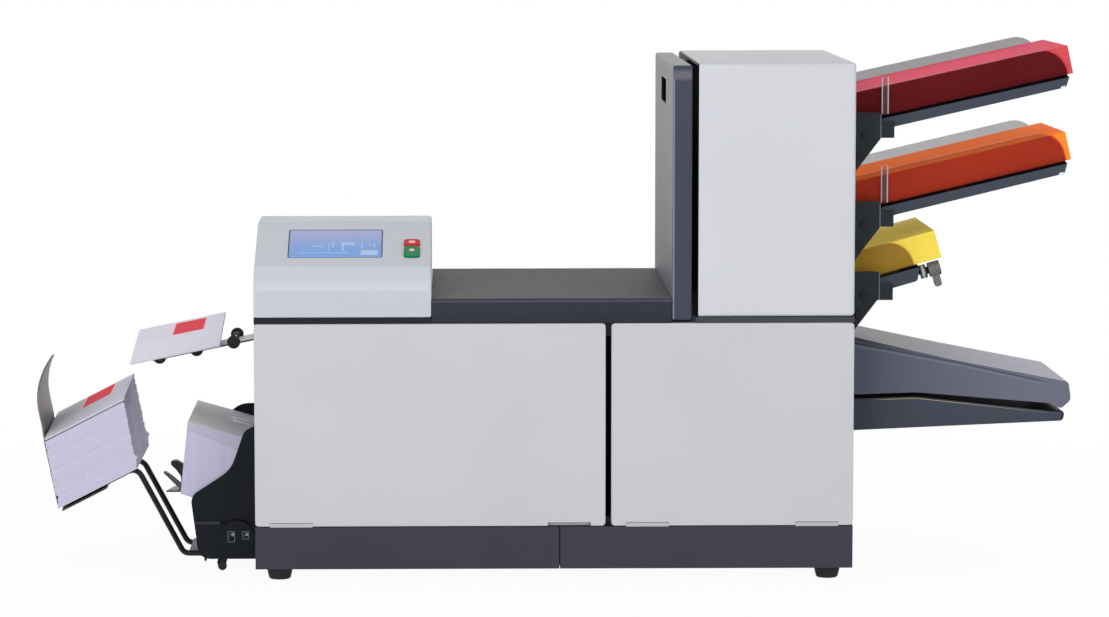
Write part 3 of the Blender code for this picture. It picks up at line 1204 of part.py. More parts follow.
def make_feeder(name, height, slope, stack_reach, tray_reach, guide_reach, depths, paint):
    bed = feeder_frame(height, slope)
    root = (PANEL_GAP + TRAY_ROOT_DEPTH * sin(slope)) / cos(slope)
    root_depth, tip_depth = depths
    tray = extrude(f"feeder_tray_{name}",
                   rounded([(root, -root_depth, 0), (tray_reach - TRAY_NOSE, -tip_depth, CORNER_RADIUS),
                            (tray_reach, -TRAY_BED, 0), (root, -TRAY_BED, 0)]),
                   bed, -TRAY_HALF_WIDTH, TRAY_HALF_WIDTH, SLATE)
    bed_half = TRAY_HALF_WIDTH - TRAY_BED_SETBACK
    weld(tray, extrude("feeder_bed", rectangle(root, -TRAY_BED - WELD_DEPTH, tray_reach - TRAY_BED_SETBACK,
                                               0),
                       bed, -bed_half, bed_half))
    slot_start = tray_reach * TONGUE_START_SHARE
    inner = STACK_WIDTH / 2 + GUIDE_SIDE_GAP
    for side in (-1, 1):
        ends = sorted((side * (inner + GUIDE_THICKNESS + GUIDE_TRAVEL + BORE_GAP - GUIDE_THICKNESS),
                       side * (inner - TONGUE_REACH - BORE_GAP)))
        cut(tray, extrude("tongue_slot", rectangle(slot_start - BORE_GAP, -TRAY_BED + BORE_GAP / 2,
                                                   slot_start + TONGUE_LENGTH + BORE_GAP, OVERRUN),
                          bed, ends[0], ends[1]))
    add_bracket(tray, height, root_depth, slope)
    stack = rectangle(-STACK_ENTRY, SEAT_GAP, stack_reach, SEAT_GAP + STACK_THICKNESS)
    extrude(f"paper_stack_{name}", stack, bed, -STACK_WIDTH / 2, STACK_WIDTH / 2, paint)
    for side_name, side in (("front", -1), ("rear", 1)):
        guide_height = GUIDE_HEIGHT if side > 0 else FRONT_GUIDE_HEIGHTS[name]
        plate = rounded([(GUIDE_ROOT_GAP, SEAT_GAP, 0), (guide_reach, SEAT_GAP, 0),
                         (guide_reach - SKIN, guide_height, GUIDE_RADIUS),
                         (GUIDE_ROOT_GAP + guide_height * tan(slope), guide_height, 0)], 6)
        ends = sorted((side * inner, side * (inner + GUIDE_THICKNESS)))
        guide = extrude(f"side_guide_{name}_{side_name}", plate, bed, ends[0], ends[1], SMOKE)
        ends = sorted((side * (inner + WELD_DEPTH), side * (inner - TONGUE_REACH)))
        weld(guide, extrude("guide_tongue", rectangle(slot_start, -TONGUE_DEPTH, slot_start + TONGUE_LENGTH,
                                                      -SEAT_GAP / 3),
                            bed, ends[0], ends[1]),
             extrude("guide_foot", rectangle(slot_start, -TONGUE_DEPTH, slot_start + TONGUE_LENGTH,
                                             2 * SEAT_GAP),
                     bed, *sorted((side * inner, side * (inner + WELD_DEPTH * 3)))))


def add_bracket(tray, height, root_depth, slope):
    """Two side plates with a diagonal web, and the block under the tray's root."""
    left = RIGHT_END + SEAT_GAP
    right = RIGHT_END + BRACKET_REACH
    bed_at_right = height + BRACKET_REACH * tan(slope)
    plate = rounded([(left, bed_at_right + BRACKET_RISE, 0),
                     (right, bed_at_right + BRACKET_RISE, CORNER_RADIUS),
                     (right, bed_at_right - BRACKET_DROP, 0),
                     (left, bed_at_right - BRACKET_DROP - BRACKET_WEB_DROP, 0)])
    block_base = height + BRACKET_REACH * tan(slope) - root_depth - BRACKET_BLOCK_DROP / 2
    block = rectangle(right - SKIN, block_base, right + BRACKET_BLOCK_REACH, block_base + BRACKET_BLOCK_DROP)
    for side in (-1, 1):
        ends = sorted((side * (TRAY_HALF_WIDTH - WELD_DEPTH), side * (BRACKET_INNER_Y + SHELL)))
        inner_ends = sorted((side * BRACKET_INNER_Y, side * (BRACKET_INNER_Y + SHELL)))
        plate_object = extrude("bracket_plate", plate, SIDE_VIEW, inner_ends[0], inner_ends[1])
        weld(tray, plate_object, extrude("bracket_block", block, SIDE_VIEW, ends[0], ends[1]))
        for share_x, share_z in BRACKET_BORE_SHARES:
            x = left + (right - left) * share_x
            z = bed_at_right - (BRACKET_DROP + BRACKET_WEB_DROP) * share_z
            cut(tray, rod("bracket_bore", Vector((x, ends[0] - OVERRUN, z)),
                          Vector((x, ends[1] + OVERRUN, z)),
                          BRACKET_BORE_RADIUS, sides=SMALL_SIDES))


def make_clear_posts():
    """Clear posts on the outside of the two long front guides."""
    outer = STACK_WIDTH / 2 + GUIDE_SIDE_GAP + GUIDE_THICKNESS + SEAT_GAP
    for name in ("top", "middle"):
        height, slope = FEEDERS[name]
        low_x = RIGHT_END + POST_START
        base = height + (POST_START + POST_WIDTH) * tan(slope) + PANEL_GAP
        box(f"clear_post_{name}", (low_x, -outer - POST_THICKNESS, base),
            (low_x + POST_WIDTH, -outer, base + POST_HEIGHT), CLEAR)


KNOB_FRAME = feeder_frame(SHORT_FEEDER_HEIGHT, SHORT_FEEDER_SLOPE)
KNOB_ORIGIN = at(KNOB_FRAME, SHORT_TRAY_REACH + 2 * SEAT_GAP, -KNOB_DROP, KNOB_Y)


def make_width_knob():
    """Knob at the end of the short feeder that sets its side guides."""
    axis = KNOB_FRAME[1]
    neck_end = KNOB_RING_LENGTH + KNOB_NECK_LENGTH
    profile = [(KNOB_STUB_RADIUS, -KNOB_STUB_LENGTH), (KNOB_STUB_RADIUS, 0), (KNOB_RING_RADIUS, 0),
               (KNOB_RING_RADIUS, KNOB_RING_LENGTH), (KNOB_NECK_RADIUS, KNOB_RING_LENGTH),
               (KNOB_NECK_RADIUS, neck_end), (KNOB_RADIUS, neck_end), (KNOB_RADIUS, neck_end + KNOB_LENGTH)]
    knob = turned("width_knob", profile, KNOB_ORIGIN, axis, STEEL)
    wing_frame = (KNOB_ORIGIN, axis, KNOB_FRAME[2], Y_AXIS)
    wing_start = neck_end + (KNOB_LENGTH - KNOB_WING_WIDTH) / 2
    wing = rounded([(wing_start, 0, 0), (wing_start, -KNOB_WING_REACH, KNOB_WING_WIDTH / 3),
                    (wing_start + KNOB_WING_WIDTH, -KNOB_WING_REACH, KNOB_WING_WIDTH / 3),
                    (wing_start + KNOB_WING_WIDTH, 0, 0)])
    weld(knob, extrude("knob_wing", wing, wing_frame, -KNOB_WING_THICKNESS / 2, KNOB_WING_THICKNESS / 2))


def make_feeders():
    long_depths = (TRAY_ROOT_DEPTH, TRAY_TIP_DEPTH)
    for name, paint in (("top", RED_PAPER), ("middle", ORANGE_PAPER)):
        height, slope = FEEDERS[name]
        make_feeder(name, height, slope, STACK_REACH, TRAY_REACH, GUIDE_REACH, long_depths, paint)
    height, slope = FEEDERS["short"]
    make_feeder("short", height, slope, SHORT_STACK_REACH, SHORT_TRAY_REACH, SHORT_GUIDE_REACH,
                (SHORT_TRAY_ROOT_DEPTH, SHORT_TRAY_TIP_DEPTH), YELLOW_PAPER)
    bore_start = KNOB_ORIGIN - KNOB_FRAME[1] * (KNOB_STUB_LENGTH + BORE_GAP)
    bore_end = KNOB_ORIGIN + KNOB_FRAME[1] * OVERRUN
    cut(bpy.data.objects["feeder_tray_short"], rod("knob_bore", bore_start, bore_end,
                                                   KNOB_STUB_RADIUS + BORE_GAP))
    make_clear_posts()
    make_width_knob()


# Envelope hopper
def hopper_x(reach):
    """A place at a distance to the left of the cabinet's left end."""
    return LEFT_END - reach


def cheek_outline(side_name):
    """A cheek seen from the side: shoulder, waist and hip at the front, a round shoulder at the rear."""
    edge = hopper_x(SEAT_GAP)
    if side_name == "front":
        upper = [(edge, CHEEK_TOP, 0), (hopper_x(CHEEK_SHOULDER_REACH), CHEEK_SHOULDER,
                                        CHEEK_SHOULDER_RADIUS),
                 (hopper_x(CHEEK_WAIST_REACH), CHEEK_WAIST, CHEEK_WAIST_RADIUS)]
    else:
        upper = [(edge, REAR_DOME_TOP, 0), (hopper_x(REAR_DOME_REACH), REAR_DOME_TOP, REAR_DOME_RADIUS),
                 (hopper_x(REAR_DOME_REACH), REAR_DOME_FOOT, CHEEK_SHOULDER_RADIUS)]
    return rounded(upper + [(hopper_x(HOPPER_REACH), CHEEK_HIP, CHEEK_HIP_RADIUS),
                            (hopper_x(CHEEK_TOE_REACH), CHEEK_BOTTOM, CHEEK_HIP_RADIUS),
                            (edge, CHEEK_BOTTOM, 0)], 6)


def make_cheeks():
    edge = hopper_x(SEAT_GAP)
    boss_x = hopper_x(CHEEK_BOSS_REACH)
    ledge_toe = (HOPPER_REACH + CHEEK_TOE_REACH) / 2
    ledge = rounded([(edge, CHEEK_LEDGE_HEIGHT, 0), (hopper_x(ledge_toe), CHEEK_LEDGE_HEIGHT, EDGE_RADIUS),
                     (hopper_x(CHEEK_TOE_REACH), CHEEK_BOTTOM, CHEEK_HIP_RADIUS), (edge, CHEEK_BOTTOM, 0)])
    tongue_start = HOPPER_REACH / 2 - CHEEK_TONGUE_LENGTH / 2
    for side_name, side in (("front", -1), ("rear", 1)):
        inner = side * CHEEK_INNER_Y
        outer = side * (CHEEK_INNER_Y + CHEEK_THICKNESS)
        cheek = extrude(f"hopper_cheek_{side_name}", cheek_outline(side_name), SIDE_VIEW,
                        *sorted((inner, outer)), DARK)
        ledge_ends = sorted((outer - side * WELD_DEPTH, outer + side * CHEEK_LEDGE_THICKNESS))
        boss_end = outer + side * CHEEK_BOSS_THICKNESS
        weld(cheek, extrude("cheek_ledge", ledge, SIDE_VIEW, ledge_ends[0], ledge_ends[1]),
             rod("cheek_boss", Vector((boss_x, outer - side * WELD_DEPTH, CHEEK_BOSS_HEIGHT)),
                 Vector((boss_x, boss_end, CHEEK_BOSS_HEIGHT)), CHEEK_BOSS_RADIUS))
        tongue_ends = sorted((inner + side * WELD_DEPTH, inner - side * CHEEK_TONGUE_REACH))
        weld(cheek, box("cheek_tongue", (hopper_x(tongue_start + CHEEK_TONGUE_LENGTH), tongue_ends[0],
                                         CHEEK_TONGUE_Z),
                        (hopper_x(tongue_start), tongue_ends[1], CHEEK_TONGUE_Z + CHEEK_TONGUE_HEIGHT)))
        if side < 0:
            add_lever_slot(cheek, outer)


def add_lever_slot(cheek, outer):
    """Slot in the front cheek's ledge, with the pin that the thumb lever turns on."""
    x = hopper_x(LEVER_PIVOT_REACH)
    middle_y = outer - CHEEK_LEDGE_THICKNESS / 2
    half = LEVER_THICKNESS / 2 + BORE_GAP
    cut(cheek, box("lever_slot", (x - LEVER_SLOT_LENGTH / 2, middle_y - half, CHEEK_BOTTOM - OVERRUN),
                   (x + LEVER_SLOT_LENGTH / 2, middle_y + half, CHEEK_BOTTOM + LEVER_SLOT_HEIGHT)))
    pin_half = half + WELD_DEPTH
    weld(cheek, rod("lever_pin", Vector((x, middle_y - pin_half, LEVER_PIVOT_Z)),
                    Vector((x, middle_y + pin_half, LEVER_PIVOT_Z)), LEVER_PIN_RADIUS, sides=SMALL_SIDES))


def make_lever():
    """Thumb lever that hangs under the front cheek and hooks to the right."""
    x = hopper_x(LEVER_PIVOT_REACH)
    outer = -(CHEEK_INNER_Y + CHEEK_THICKNESS)
    middle_y = outer - CHEEK_LEDGE_THICKNESS / 2
    head = LEVER_HEAD_RADIUS
    outline = rounded([(x - head, LEVER_PIVOT_Z + head, head), (x + head, LEVER_PIVOT_Z + head, head)]
                      + [(x + across, LEVER_PIVOT_Z + rise, radius) for across, rise, radius in LEVER_BLADE])
    lever = extrude("hopper_lever", outline, SIDE_VIEW, middle_y - LEVER_THICKNESS / 2,
                    middle_y + LEVER_THICKNESS / 2, DARK)
    cut(lever, rod("lever_bore", Vector((x, middle_y - LEVER_THICKNESS, LEVER_PIVOT_Z)),
                   Vector((x, middle_y + LEVER_THICKNESS, LEVER_PIVOT_Z)), LEVER_PIN_RADIUS + BORE_GAP,
                   sides=SMALL_SIDES))


def make_hopper_base():
    """Moulded bed between the cheeks, with slots for their tongues."""
    edge = hopper_x(SEAT_GAP)
    outline = rounded([(edge, HOPPER_BED_RISE, 0), (hopper_x(HOPPER_LIP), HOPPER_BED_TOP, 0),
                       (hopper_x(HOPPER_LIP), CHEEK_HIP - 2 * SKIN, 0),
                       (hopper_x(CHEEK_TOE_REACH), CHEEK_BOTTOM, CHEEK_HIP_RADIUS), (edge, CHEEK_BOTTOM, 0)])
    half = CHEEK_INNER_Y - HOPPER_SIDE_GAP
    base = extrude("hopper_base", outline, SIDE_VIEW, -half, half, DARK)
    tongue_start = HOPPER_REACH / 2 - CHEEK_TONGUE_LENGTH / 2
    for side in (-1, 1):
        slot_ends = sorted((side * (half + OVERRUN), side * (CHEEK_INNER_Y - CHEEK_TONGUE_REACH - BORE_GAP)))
        cut(base, box("tongue_slot", (hopper_x(tongue_start + CHEEK_TONGUE_LENGTH + BORE_GAP), slot_ends[0],
                                      CHEEK_TONGUE_Z - BORE_GAP),
                      (hopper_x(tongue_start - BORE_GAP), slot_ends[1],
                       CHEEK_TONGUE_Z + CHEEK_TONGUE_HEIGHT + BORE_GAP)))


def make_feed_fingers():
    """A pointed tongue under the stack's edge with a paddle and a blade that stand up from it."""
    right = hopper_x(HOPPER_LIP + SEAT_GAP)
    top = HOPPER_BED_TOP - FINGER_TONGUE_DROP
    plan = [(right - reach, y) for reach, y in FINGER_TONGUE_PLAN]
    fingers = extrude("feed_fingers", plan, PLAN_VIEW, top - FINGER_TONGUE_THICKNESS, top, DARK)
    for name, profile, low_y in (("finger_paddle", FINGER_PADDLE, FINGER_SPREAD),
                                 ("finger_blade", FINGER_BLADE, -FINGER_SPREAD - FINGER_WIDTH)):
        outline = rounded([(right - reach, top + rise, radius) for reach, rise, radius in profile])
        weld(fingers, extrude(name, outline, SIDE_VIEW, low_y, low_y + FINGER_WIDTH))


def make_hopper_stack():
    """Envelopes that wait in the hopper, leaning back against the machine."""
    left = hopper_x(HOPPER_REACH + CHEEK_THICKNESS)
    right = HOPPER_STACK_RIGHT
    bed_slope = (HOPPER_BED_TOP - HOPPER_BED_RISE) / HOPPER_LIP
    low_left = left - HOPPER_STACK_LEAN
    bottom = HOPPER_BED_RISE + SEAT_GAP * 2

    def bed_height(x):
        return bottom + (LEFT_END - x) * bed_slope

    outline = [(low_left, bed_height(low_left)), (right, bed_height(right)), (right, hopper_stack_top(right)),
               (left, HOPPER_STACK_TOP)]
    half = ENVELOPE_WIDTH / 2
    extrude("hopper_envelopes", outline, SIDE_VIEW, -half, half, ENVELOPE)


def make_hold_down(end_panel):
    """Light metal strip that lies on the waiting envelopes, hinged inside the left end."""
    slope = HOPPER_STACK_SLOPE
    pivot = Vector((STRIP_PIVOT_X, STRIP_PIVOT_Z))
    strip_frame = (Vector((pivot.x, 0, pivot.y)), Vector((-cos(slope), 0, sin(slope))),
                   Vector((sin(slope), 0, cos(slope))), Y_AXIS)
    low_y = STRIP_Y - STRIP_HALF_WIDTH
    high_y = STRIP_Y + STRIP_HALF_WIDTH
    length = STRIP_REACH + SHELL + STRIP_PIVOT_INSET
    low_v = -STRIP_BARREL_RADIUS
    strip = extrude("hold_down_strip", rectangle(0, low_v, length, low_v + STRIP_THICKNESS), strip_frame,
                    low_y, high_y, STEEL)
    barrel_start = Vector((pivot.x, low_y, pivot.y))
    barrel_end = Vector((pivot.x, high_y, pivot.y))
    pin_reach = Y_AXIS * (STRIP_PIN_LENGTH + STRIP_EAR_GAP)
    weld(strip, rod("strip_barrel", barrel_start, barrel_end, STRIP_BARREL_RADIUS),
         rod("strip_pin", barrel_start - pin_reach, barrel_end + pin_reach, STRIP_PIN_RADIUS,
             sides=SMALL_SIDES))
    inner = LEFT_END + SHELL
    ear = rounded([(inner - WELD_DEPTH, pivot.y + STRIP_EAR_HEIGHT * 2, 0),
                   (inner - WELD_DEPTH, pivot.y + STRIP_EAR_HEIGHT, 0),
                   (pivot.x - STRIP_EAR_HEIGHT / 2, pivot.y - STRIP_EAR_HEIGHT / 2, 0),
                   (pivot.x + STRIP_EAR_HEIGHT / 2, pivot.y - STRIP_EAR_HEIGHT / 2, CORNER_RADIUS / 2),
                   (pivot.x + STRIP_EAR_HEIGHT / 2, pivot.y + STRIP_EAR_HEIGHT, CORNER_RADIUS / 2)])
    for side, face in ((-1, low_y), (1, high_y)):
        ends = sorted((face + side * STRIP_EAR_GAP, face + side * (STRIP_EAR_GAP + STRIP_EAR_THICKNESS)))
        weld(end_panel, extrude("strip_ear", ear, SIDE_VIEW, ends[0], ends[1]))
        cut(end_panel, rod("strip_bore", Vector((pivot.x, ends[0] - PANEL_GAP, pivot.y)),
                           Vector((pivot.x, ends[1] + PANEL_GAP, pivot.y)), STRIP_PIN_RADIUS + BORE_GAP,
                           sides=SMALL_SIDES))


# Finished-envelope tray
DONE = falling_frame(LEFT_END - ROD_BEND_REACH, ROD_BEND_Z, TRAY_SLOPE)


def make_stacker_rods():
    start = (hopper_x(ROD_ROOT_REACH), ROD_ROOT_Z, 0)
    knee = (hopper_x(ROD_KNEE_REACH), ROD_ROOT_Z, ROD_KNEE_RADIUS)
    bend = (hopper_x(ROD_BEND_REACH), ROD_BEND_Z, ROD_BEND_RADIUS)
    tip_point = at(DONE, ROD_TRAY_LENGTH, 0)
    line = bent_line([start, knee, bend, (tip_point.x, tip_point.z, 0)], 5)
    rods = None
    for y in (-ROD_SPREAD, ROD_SPREAD):
        points = [Vector((u, y, v)) for u, v in line]
        bar = tube_along("stacker_rods" if rods is None else "second_rod", points, ROD_RADIUS, BAR_SIDES,
                         BLACK_STEEL)
        rods = bar if rods is None else weld(rods, bar)
    for share in CROSS_BAR_PLACES_SHARES:
        u = ROD_TRAY_LENGTH * share
        weld(rods, rod("cross_bar", at(DONE, u, -CROSS_BAR_DROP, -ROD_SPREAD),
                       at(DONE, u, -CROSS_BAR_DROP, ROD_SPREAD),
                       CROSS_BAR_RADIUS, sides=SMALL_SIDES))
    top = CHEEK_BOTTOM - SEAT_GAP
    plate_half = ROD_SPREAD + ROD_PLATE_MARGIN
    weld(rods, box("rod_plate", (hopper_x(ROD_PLATE_START + ROD_PLATE_LENGTH), -plate_half,
                                 top - ROD_PLATE_THICKNESS),
                   (hopper_x(ROD_PLATE_START), plate_half, top)))


def make_done_stack():
    base = ROD_RADIUS + SEAT_GAP
    outline = [(-DONE_STACK_HEAD, base), (DONE_STACK_LENGTH - DONE_STACK_HEAD, base),
               (DONE_STACK_LENGTH - DONE_STACK_HEAD - DONE_STACK_SHEAR, base + DONE_STACK_HEIGHT),
               (-DONE_STACK_HEAD - DONE_STACK_SHEAR, base + DONE_STACK_HEIGHT)]
    extrude("finished_envelopes", outline, DONE, -ENVELOPE_WIDTH / 2, ENVELOPE_WIDTH / 2, ENVELOPE)


def make_stop_plate():
    """Curved sheet-metal stop with a foot that slides between the rods."""
    foot_v = STOP_FOOT_LIFT + STOP_FOOT_THICKNESS / 2
    heel_u = DONE_STACK_LENGTH - DONE_STACK_HEAD + STOP_OFFSET
    heel = at(DONE, heel_u, foot_v)
    line = [(heel.x, heel.z, 0)]
    line += [(heel.x - lean, heel.z + rise, STOP_BEND_RADIUS) for rise, lean in STOP_PROFILE[:-1]]
    tip_rise, tip_lean = STOP_PROFILE[-1]
    line.append((heel.x - tip_lean, heel.z + tip_rise, 0))
    plate = extrude("stop_plate", ribbon(bent_line(line, 3), STOP_THICKNESS), SIDE_VIEW, -STOP_HALF_WIDTH,
                    STOP_HALF_WIDTH, GREY_STEEL)
    low = heel.z - OVERRUN * 2
    top = heel.z + tip_rise - WELD_DEPTH
    face = rounded([(-STOP_HALF_WIDTH, low, 0), (STOP_HALF_WIDTH, low, 0),
                    (STOP_HALF_WIDTH, top, STOP_CORNER_RADIUS),
                    (-STOP_HALF_WIDTH, top, STOP_CORNER_RADIUS)], 10)
    combine(plate, extrude("stop_face", face, END_VIEW, heel.x - tip_rise, heel.x + tip_rise), "INTERSECT")
    foot_half = ROD_SPREAD - ROD_RADIUS - BORE_GAP
    outer = heel_u + STOP_THICKNESS / 3
    runner_top = -ROD_RADIUS - SEAT_GAP
    runner_base = runner_top - STOP_RUNNER_THICKNESS
    weld(plate, extrude("stop_foot", rectangle(heel_u - STOP_FOOT_LENGTH, STOP_FOOT_LIFT, outer,
                                               STOP_FOOT_LIFT + STOP_FOOT_THICKNESS), DONE, -foot_half,
                                               foot_half),
         extrude("stop_link", rectangle(ROD_TRAY_LENGTH + PANEL_GAP, runner_base, outer,
                                        STOP_FOOT_LIFT + STOP_FOOT_THICKNESS / 2), DONE,
                                        -foot_half + PANEL_GAP,
                 foot_half - PANEL_GAP))
    weld(plate, extrude("stop_runner", rectangle(heel_u - STOP_RUNNER_LENGTH, runner_base, outer - WELD_DEPTH,
                                                 runner_top), DONE, -STOP_RUNNER_HALF_WIDTH,
                                                 STOP_RUNNER_HALF_WIDTH))


# Exit deck
def make_exit_deck():
    last = (EXIT_SHAFTS - 1) * EXIT_SHAFT_SPACING + EXIT_DECK_TAIL
    plate = extrude("exit_deck", rectangle(EXIT_DECK_INNER_U, -EXIT_DECK_BOTTOM, last, EXIT_DECK_TOP), EXIT,
                    -EXIT_DECK_HALF_WIDTH, EXIT_DECK_HALF_WIDTH, GREY_STEEL)
    for number in range(EXIT_SHAFTS):
        centre = at(EXIT, number * EXIT_SHAFT_SPACING, 0)
        reach = Y_AXIS * (EXIT_DECK_HALF_WIDTH + OVERRUN)
        ear = rectangle(number * EXIT_SHAFT_SPACING - EXIT_EAR_LENGTH / 2, EXIT_DECK_TOP - WELD_DEPTH,
                        number * EXIT_SHAFT_SPACING + EXIT_EAR_LENGTH / 2, EXIT_EAR_TOP)
        for low_y in (-EXIT_DECK_HALF_WIDTH + PANEL_GAP, EXIT_DECK_HALF_WIDTH - EXIT_EAR_WIDTH - PANEL_GAP):
            weld(plate, extrude("exit_ear", ear, EXIT, low_y, low_y + EXIT_EAR_WIDTH))
        cut(plate, rod("shaft_bore", centre - reach, centre + reach, EXIT_AXLE_RADIUS + BORE_GAP,
                       sides=SMALL_SIDES))
        half = EXIT_WHEEL_WIDTH / 2
        profile = [(EXIT_AXLE_RADIUS, -EXIT_AXLE_END)]
        for side in (-1, 1):
            middle = side * EXIT_WHEEL_Y
            profile += [(EXIT_AXLE_RADIUS, middle - half),
                        (EXIT_WHEEL_RADIUS - EDGE_RADIUS / 2, middle - half),
                        (EXIT_WHEEL_RADIUS, middle - half + EDGE_RADIUS / 2),
                        (EXIT_WHEEL_RADIUS, middle + half - EDGE_RADIUS / 2),
                        (EXIT_WHEEL_RADIUS - EDGE_RADIUS / 2, middle + half),
                        (EXIT_AXLE_RADIUS, middle + half)]
        profile.append((EXIT_AXLE_RADIUS, EXIT_AXLE_END))
        turned(f"exit_wheels_{number + 1}", profile, centre, Y_AXIS, RUBBER, WHEEL_SIDES)


def make_exit_envelope():
    """A filled envelope on its way out, its far half curled up."""
    half = ENVELOPE_WIDTH / 2
    base = EXIT_WHEEL_RADIUS + SEAT_GAP + EXIT_ENVELOPE_THICKNESS / 2
    line = []
    for step in range(EXIT_ENVELOPE_STEPS + 1):
        y = -half + ENVELOPE_WIDTH * step / EXIT_ENVELOPE_STEPS
        near = max(-y - EXIT_WHEEL_Y - EXIT_WHEEL_WIDTH, 0) / half
        far = max(y + EXIT_WHEEL_Y - EXIT_WHEEL_WIDTH, 0) / (half + EXIT_WHEEL_Y)
        curl = EXIT_ENVELOPE_CURL * far ** EXIT_ENVELOPE_POWER
        line.append(Vector((y, base - EXIT_ENVELOPE_DROOP * near + curl)))
    across = (EXIT[0], Y_AXIS, EXIT[2], EXIT[1])
    extrude("exit_envelope", ribbon(line, EXIT_ENVELOPE_THICKNESS), across, EXIT_ENVELOPE_START,
            EXIT_ENVELOPE_START + EXIT_ENVELOPE_LENGTH, ENVELOPE)


make_feet()
make_plinth()
make_doors()
make_rear_cover()
left_end, right_end = make_end_panels()
make_frames()
make_deck()
make_control_pod()
make_transport_lid()
make_transport_roller()
make_tower_cover()
make_collator_door()
make_fold_rollers()
make_hand_wheel()
make_motor_and_tank()
make_fold_shells(right_end)
make_feeders()
make_cheeks()
make_lever()
make_hopper_base()
make_feed_fingers()
make_hopper_stack()
make_hold_down(left_end)
make_stacker_rods()
make_done_stack()
make_stop_plate()
make_exit_deck()
make_exit_envelope()

# Origins of the moving pieces go onto their joint axes
JOINT_POINTS = {
    "door_left": Vector((0, HINGE_Y, HINGE_Z)),
    "door_right": Vector((0, HINGE_Y, HINGE_Z)),
    "transport_lid": Vector((0, LID_HINGE_Y, LID_HINGE_Z)),
    "collator_door": Vector((COLLATOR_ROD_X, 0, COLLATOR_ROD_Z)),
    "fold_shell_upper": Vector((SHELL_HINGE_X, 0, SHELL_HINGE_Z)),
    "fold_roller_lower": Vector((FOLD_ROLLER_X, 0, FOLD_ROLLER_Z)),
    "fold_roller_upper": Vector((FOLD_ROLLER_X, 0, FOLD_ROLLER_Z + fold_gear_pitch())),
    "hand_wheel": Vector((hand_wheel_place()[0], 0, hand_wheel_place()[1])),
    "riser_roller": Vector((RISER_ROLLER_X, 0, RISER_ROLLER_Z)),
    "transport_roller": Vector((TRANSPORT_ROLLER_X, 0, TRANSPORT_AXLE_Z)),
    "hold_down_strip": Vector((STRIP_PIVOT_X, 0, STRIP_PIVOT_Z)),
    "hopper_lever": Vector((hopper_x(LEVER_PIVOT_REACH), 0, LEVER_PIVOT_Z)),
    "width_knob": KNOB_ORIGIN,
    "stop_plate": DONE[0],
}
for button, start, depth in (("start_button", BUTTON_START, START_BUTTON_DEPTH),
                             ("stop_button", STOP_BUTTON_START, STOP_BUTTON_DEPTH)):
    JOINT_POINTS[button] = at(POD_FACE, POD_LENGTH - BUTTON_INSET - BUTTON_LENGTH / 2, start + depth / 2)
for number in range(EXIT_SHAFTS):
    JOINT_POINTS[f"exit_wheels_{number + 1}"] = at(EXIT, number * EXIT_SHAFT_SPACING, 0)
for name, point in JOINT_POINTS.items():
    body = bpy.data.objects[name]
    for vertex in body.data.vertices:
        vertex.co -= point
    body.location = point

# Centre the whole machine over the origin
bpy.context.view_layer.update()
graph = bpy.context.evaluated_depsgraph_get()
places = []
for body in bpy.data.objects:
    if not body.hide_render:
        solid = body.evaluated_get(graph)
        places += [(solid.matrix_world @ vertex.co).x for vertex in solid.data.vertices]
CENTRE_SHIFT = (min(places) + max(places)) / 2
for body in bpy.data.objects:
    body.location.x -= CENTRE_SHIFT
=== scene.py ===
"""Looks of the desk folder inserter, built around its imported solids."""

import random
from math import cos, pi, radians, sin, tan

import bmesh
import bpy
from mathutils import Matrix, Vector


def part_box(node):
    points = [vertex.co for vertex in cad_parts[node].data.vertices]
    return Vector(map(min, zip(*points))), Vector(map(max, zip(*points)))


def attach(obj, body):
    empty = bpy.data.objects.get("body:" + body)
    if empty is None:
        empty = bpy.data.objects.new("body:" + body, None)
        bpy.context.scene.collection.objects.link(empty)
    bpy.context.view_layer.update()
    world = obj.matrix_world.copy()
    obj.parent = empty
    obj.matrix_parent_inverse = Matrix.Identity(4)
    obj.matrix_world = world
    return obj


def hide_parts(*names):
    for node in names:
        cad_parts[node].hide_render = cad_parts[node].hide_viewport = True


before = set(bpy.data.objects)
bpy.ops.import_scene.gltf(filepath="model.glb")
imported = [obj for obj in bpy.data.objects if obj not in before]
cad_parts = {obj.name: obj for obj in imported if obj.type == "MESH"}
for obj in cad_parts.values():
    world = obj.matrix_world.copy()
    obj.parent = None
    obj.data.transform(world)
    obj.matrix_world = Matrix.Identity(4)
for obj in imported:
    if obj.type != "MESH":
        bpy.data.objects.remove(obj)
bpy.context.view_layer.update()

# Camera and daylight table
# The picture was taken from well back with a long lens, a little left of the machine's middle and a little
# above its top, so the verticals stay upright and the tops show as thin bands.
CAMERA_PLACE = (-0.1546, -5.3961, 0.9322)
CAMERA_PITCH = radians(6.151)
CAMERA_ROLL = radians(-0.172)
PHOTO_WIDTH = 1109
FOCAL_PIXELS = 3863
SENSOR_MM = 36
MIDDLE_COLUMN = 439.8
CAMERA_RANGE = 100
WORLD_LIGHT = 0.50
FLOOR_SIZE = 24.0
FLOOR_COLOUR = (0.90, 0.90, 0.91, 1)
FLOOR_ROUGHNESS = 0.6
FLOOR_WHITE_SHARE = 0.95
FLOOR_FADE = (0.8, 1.6)

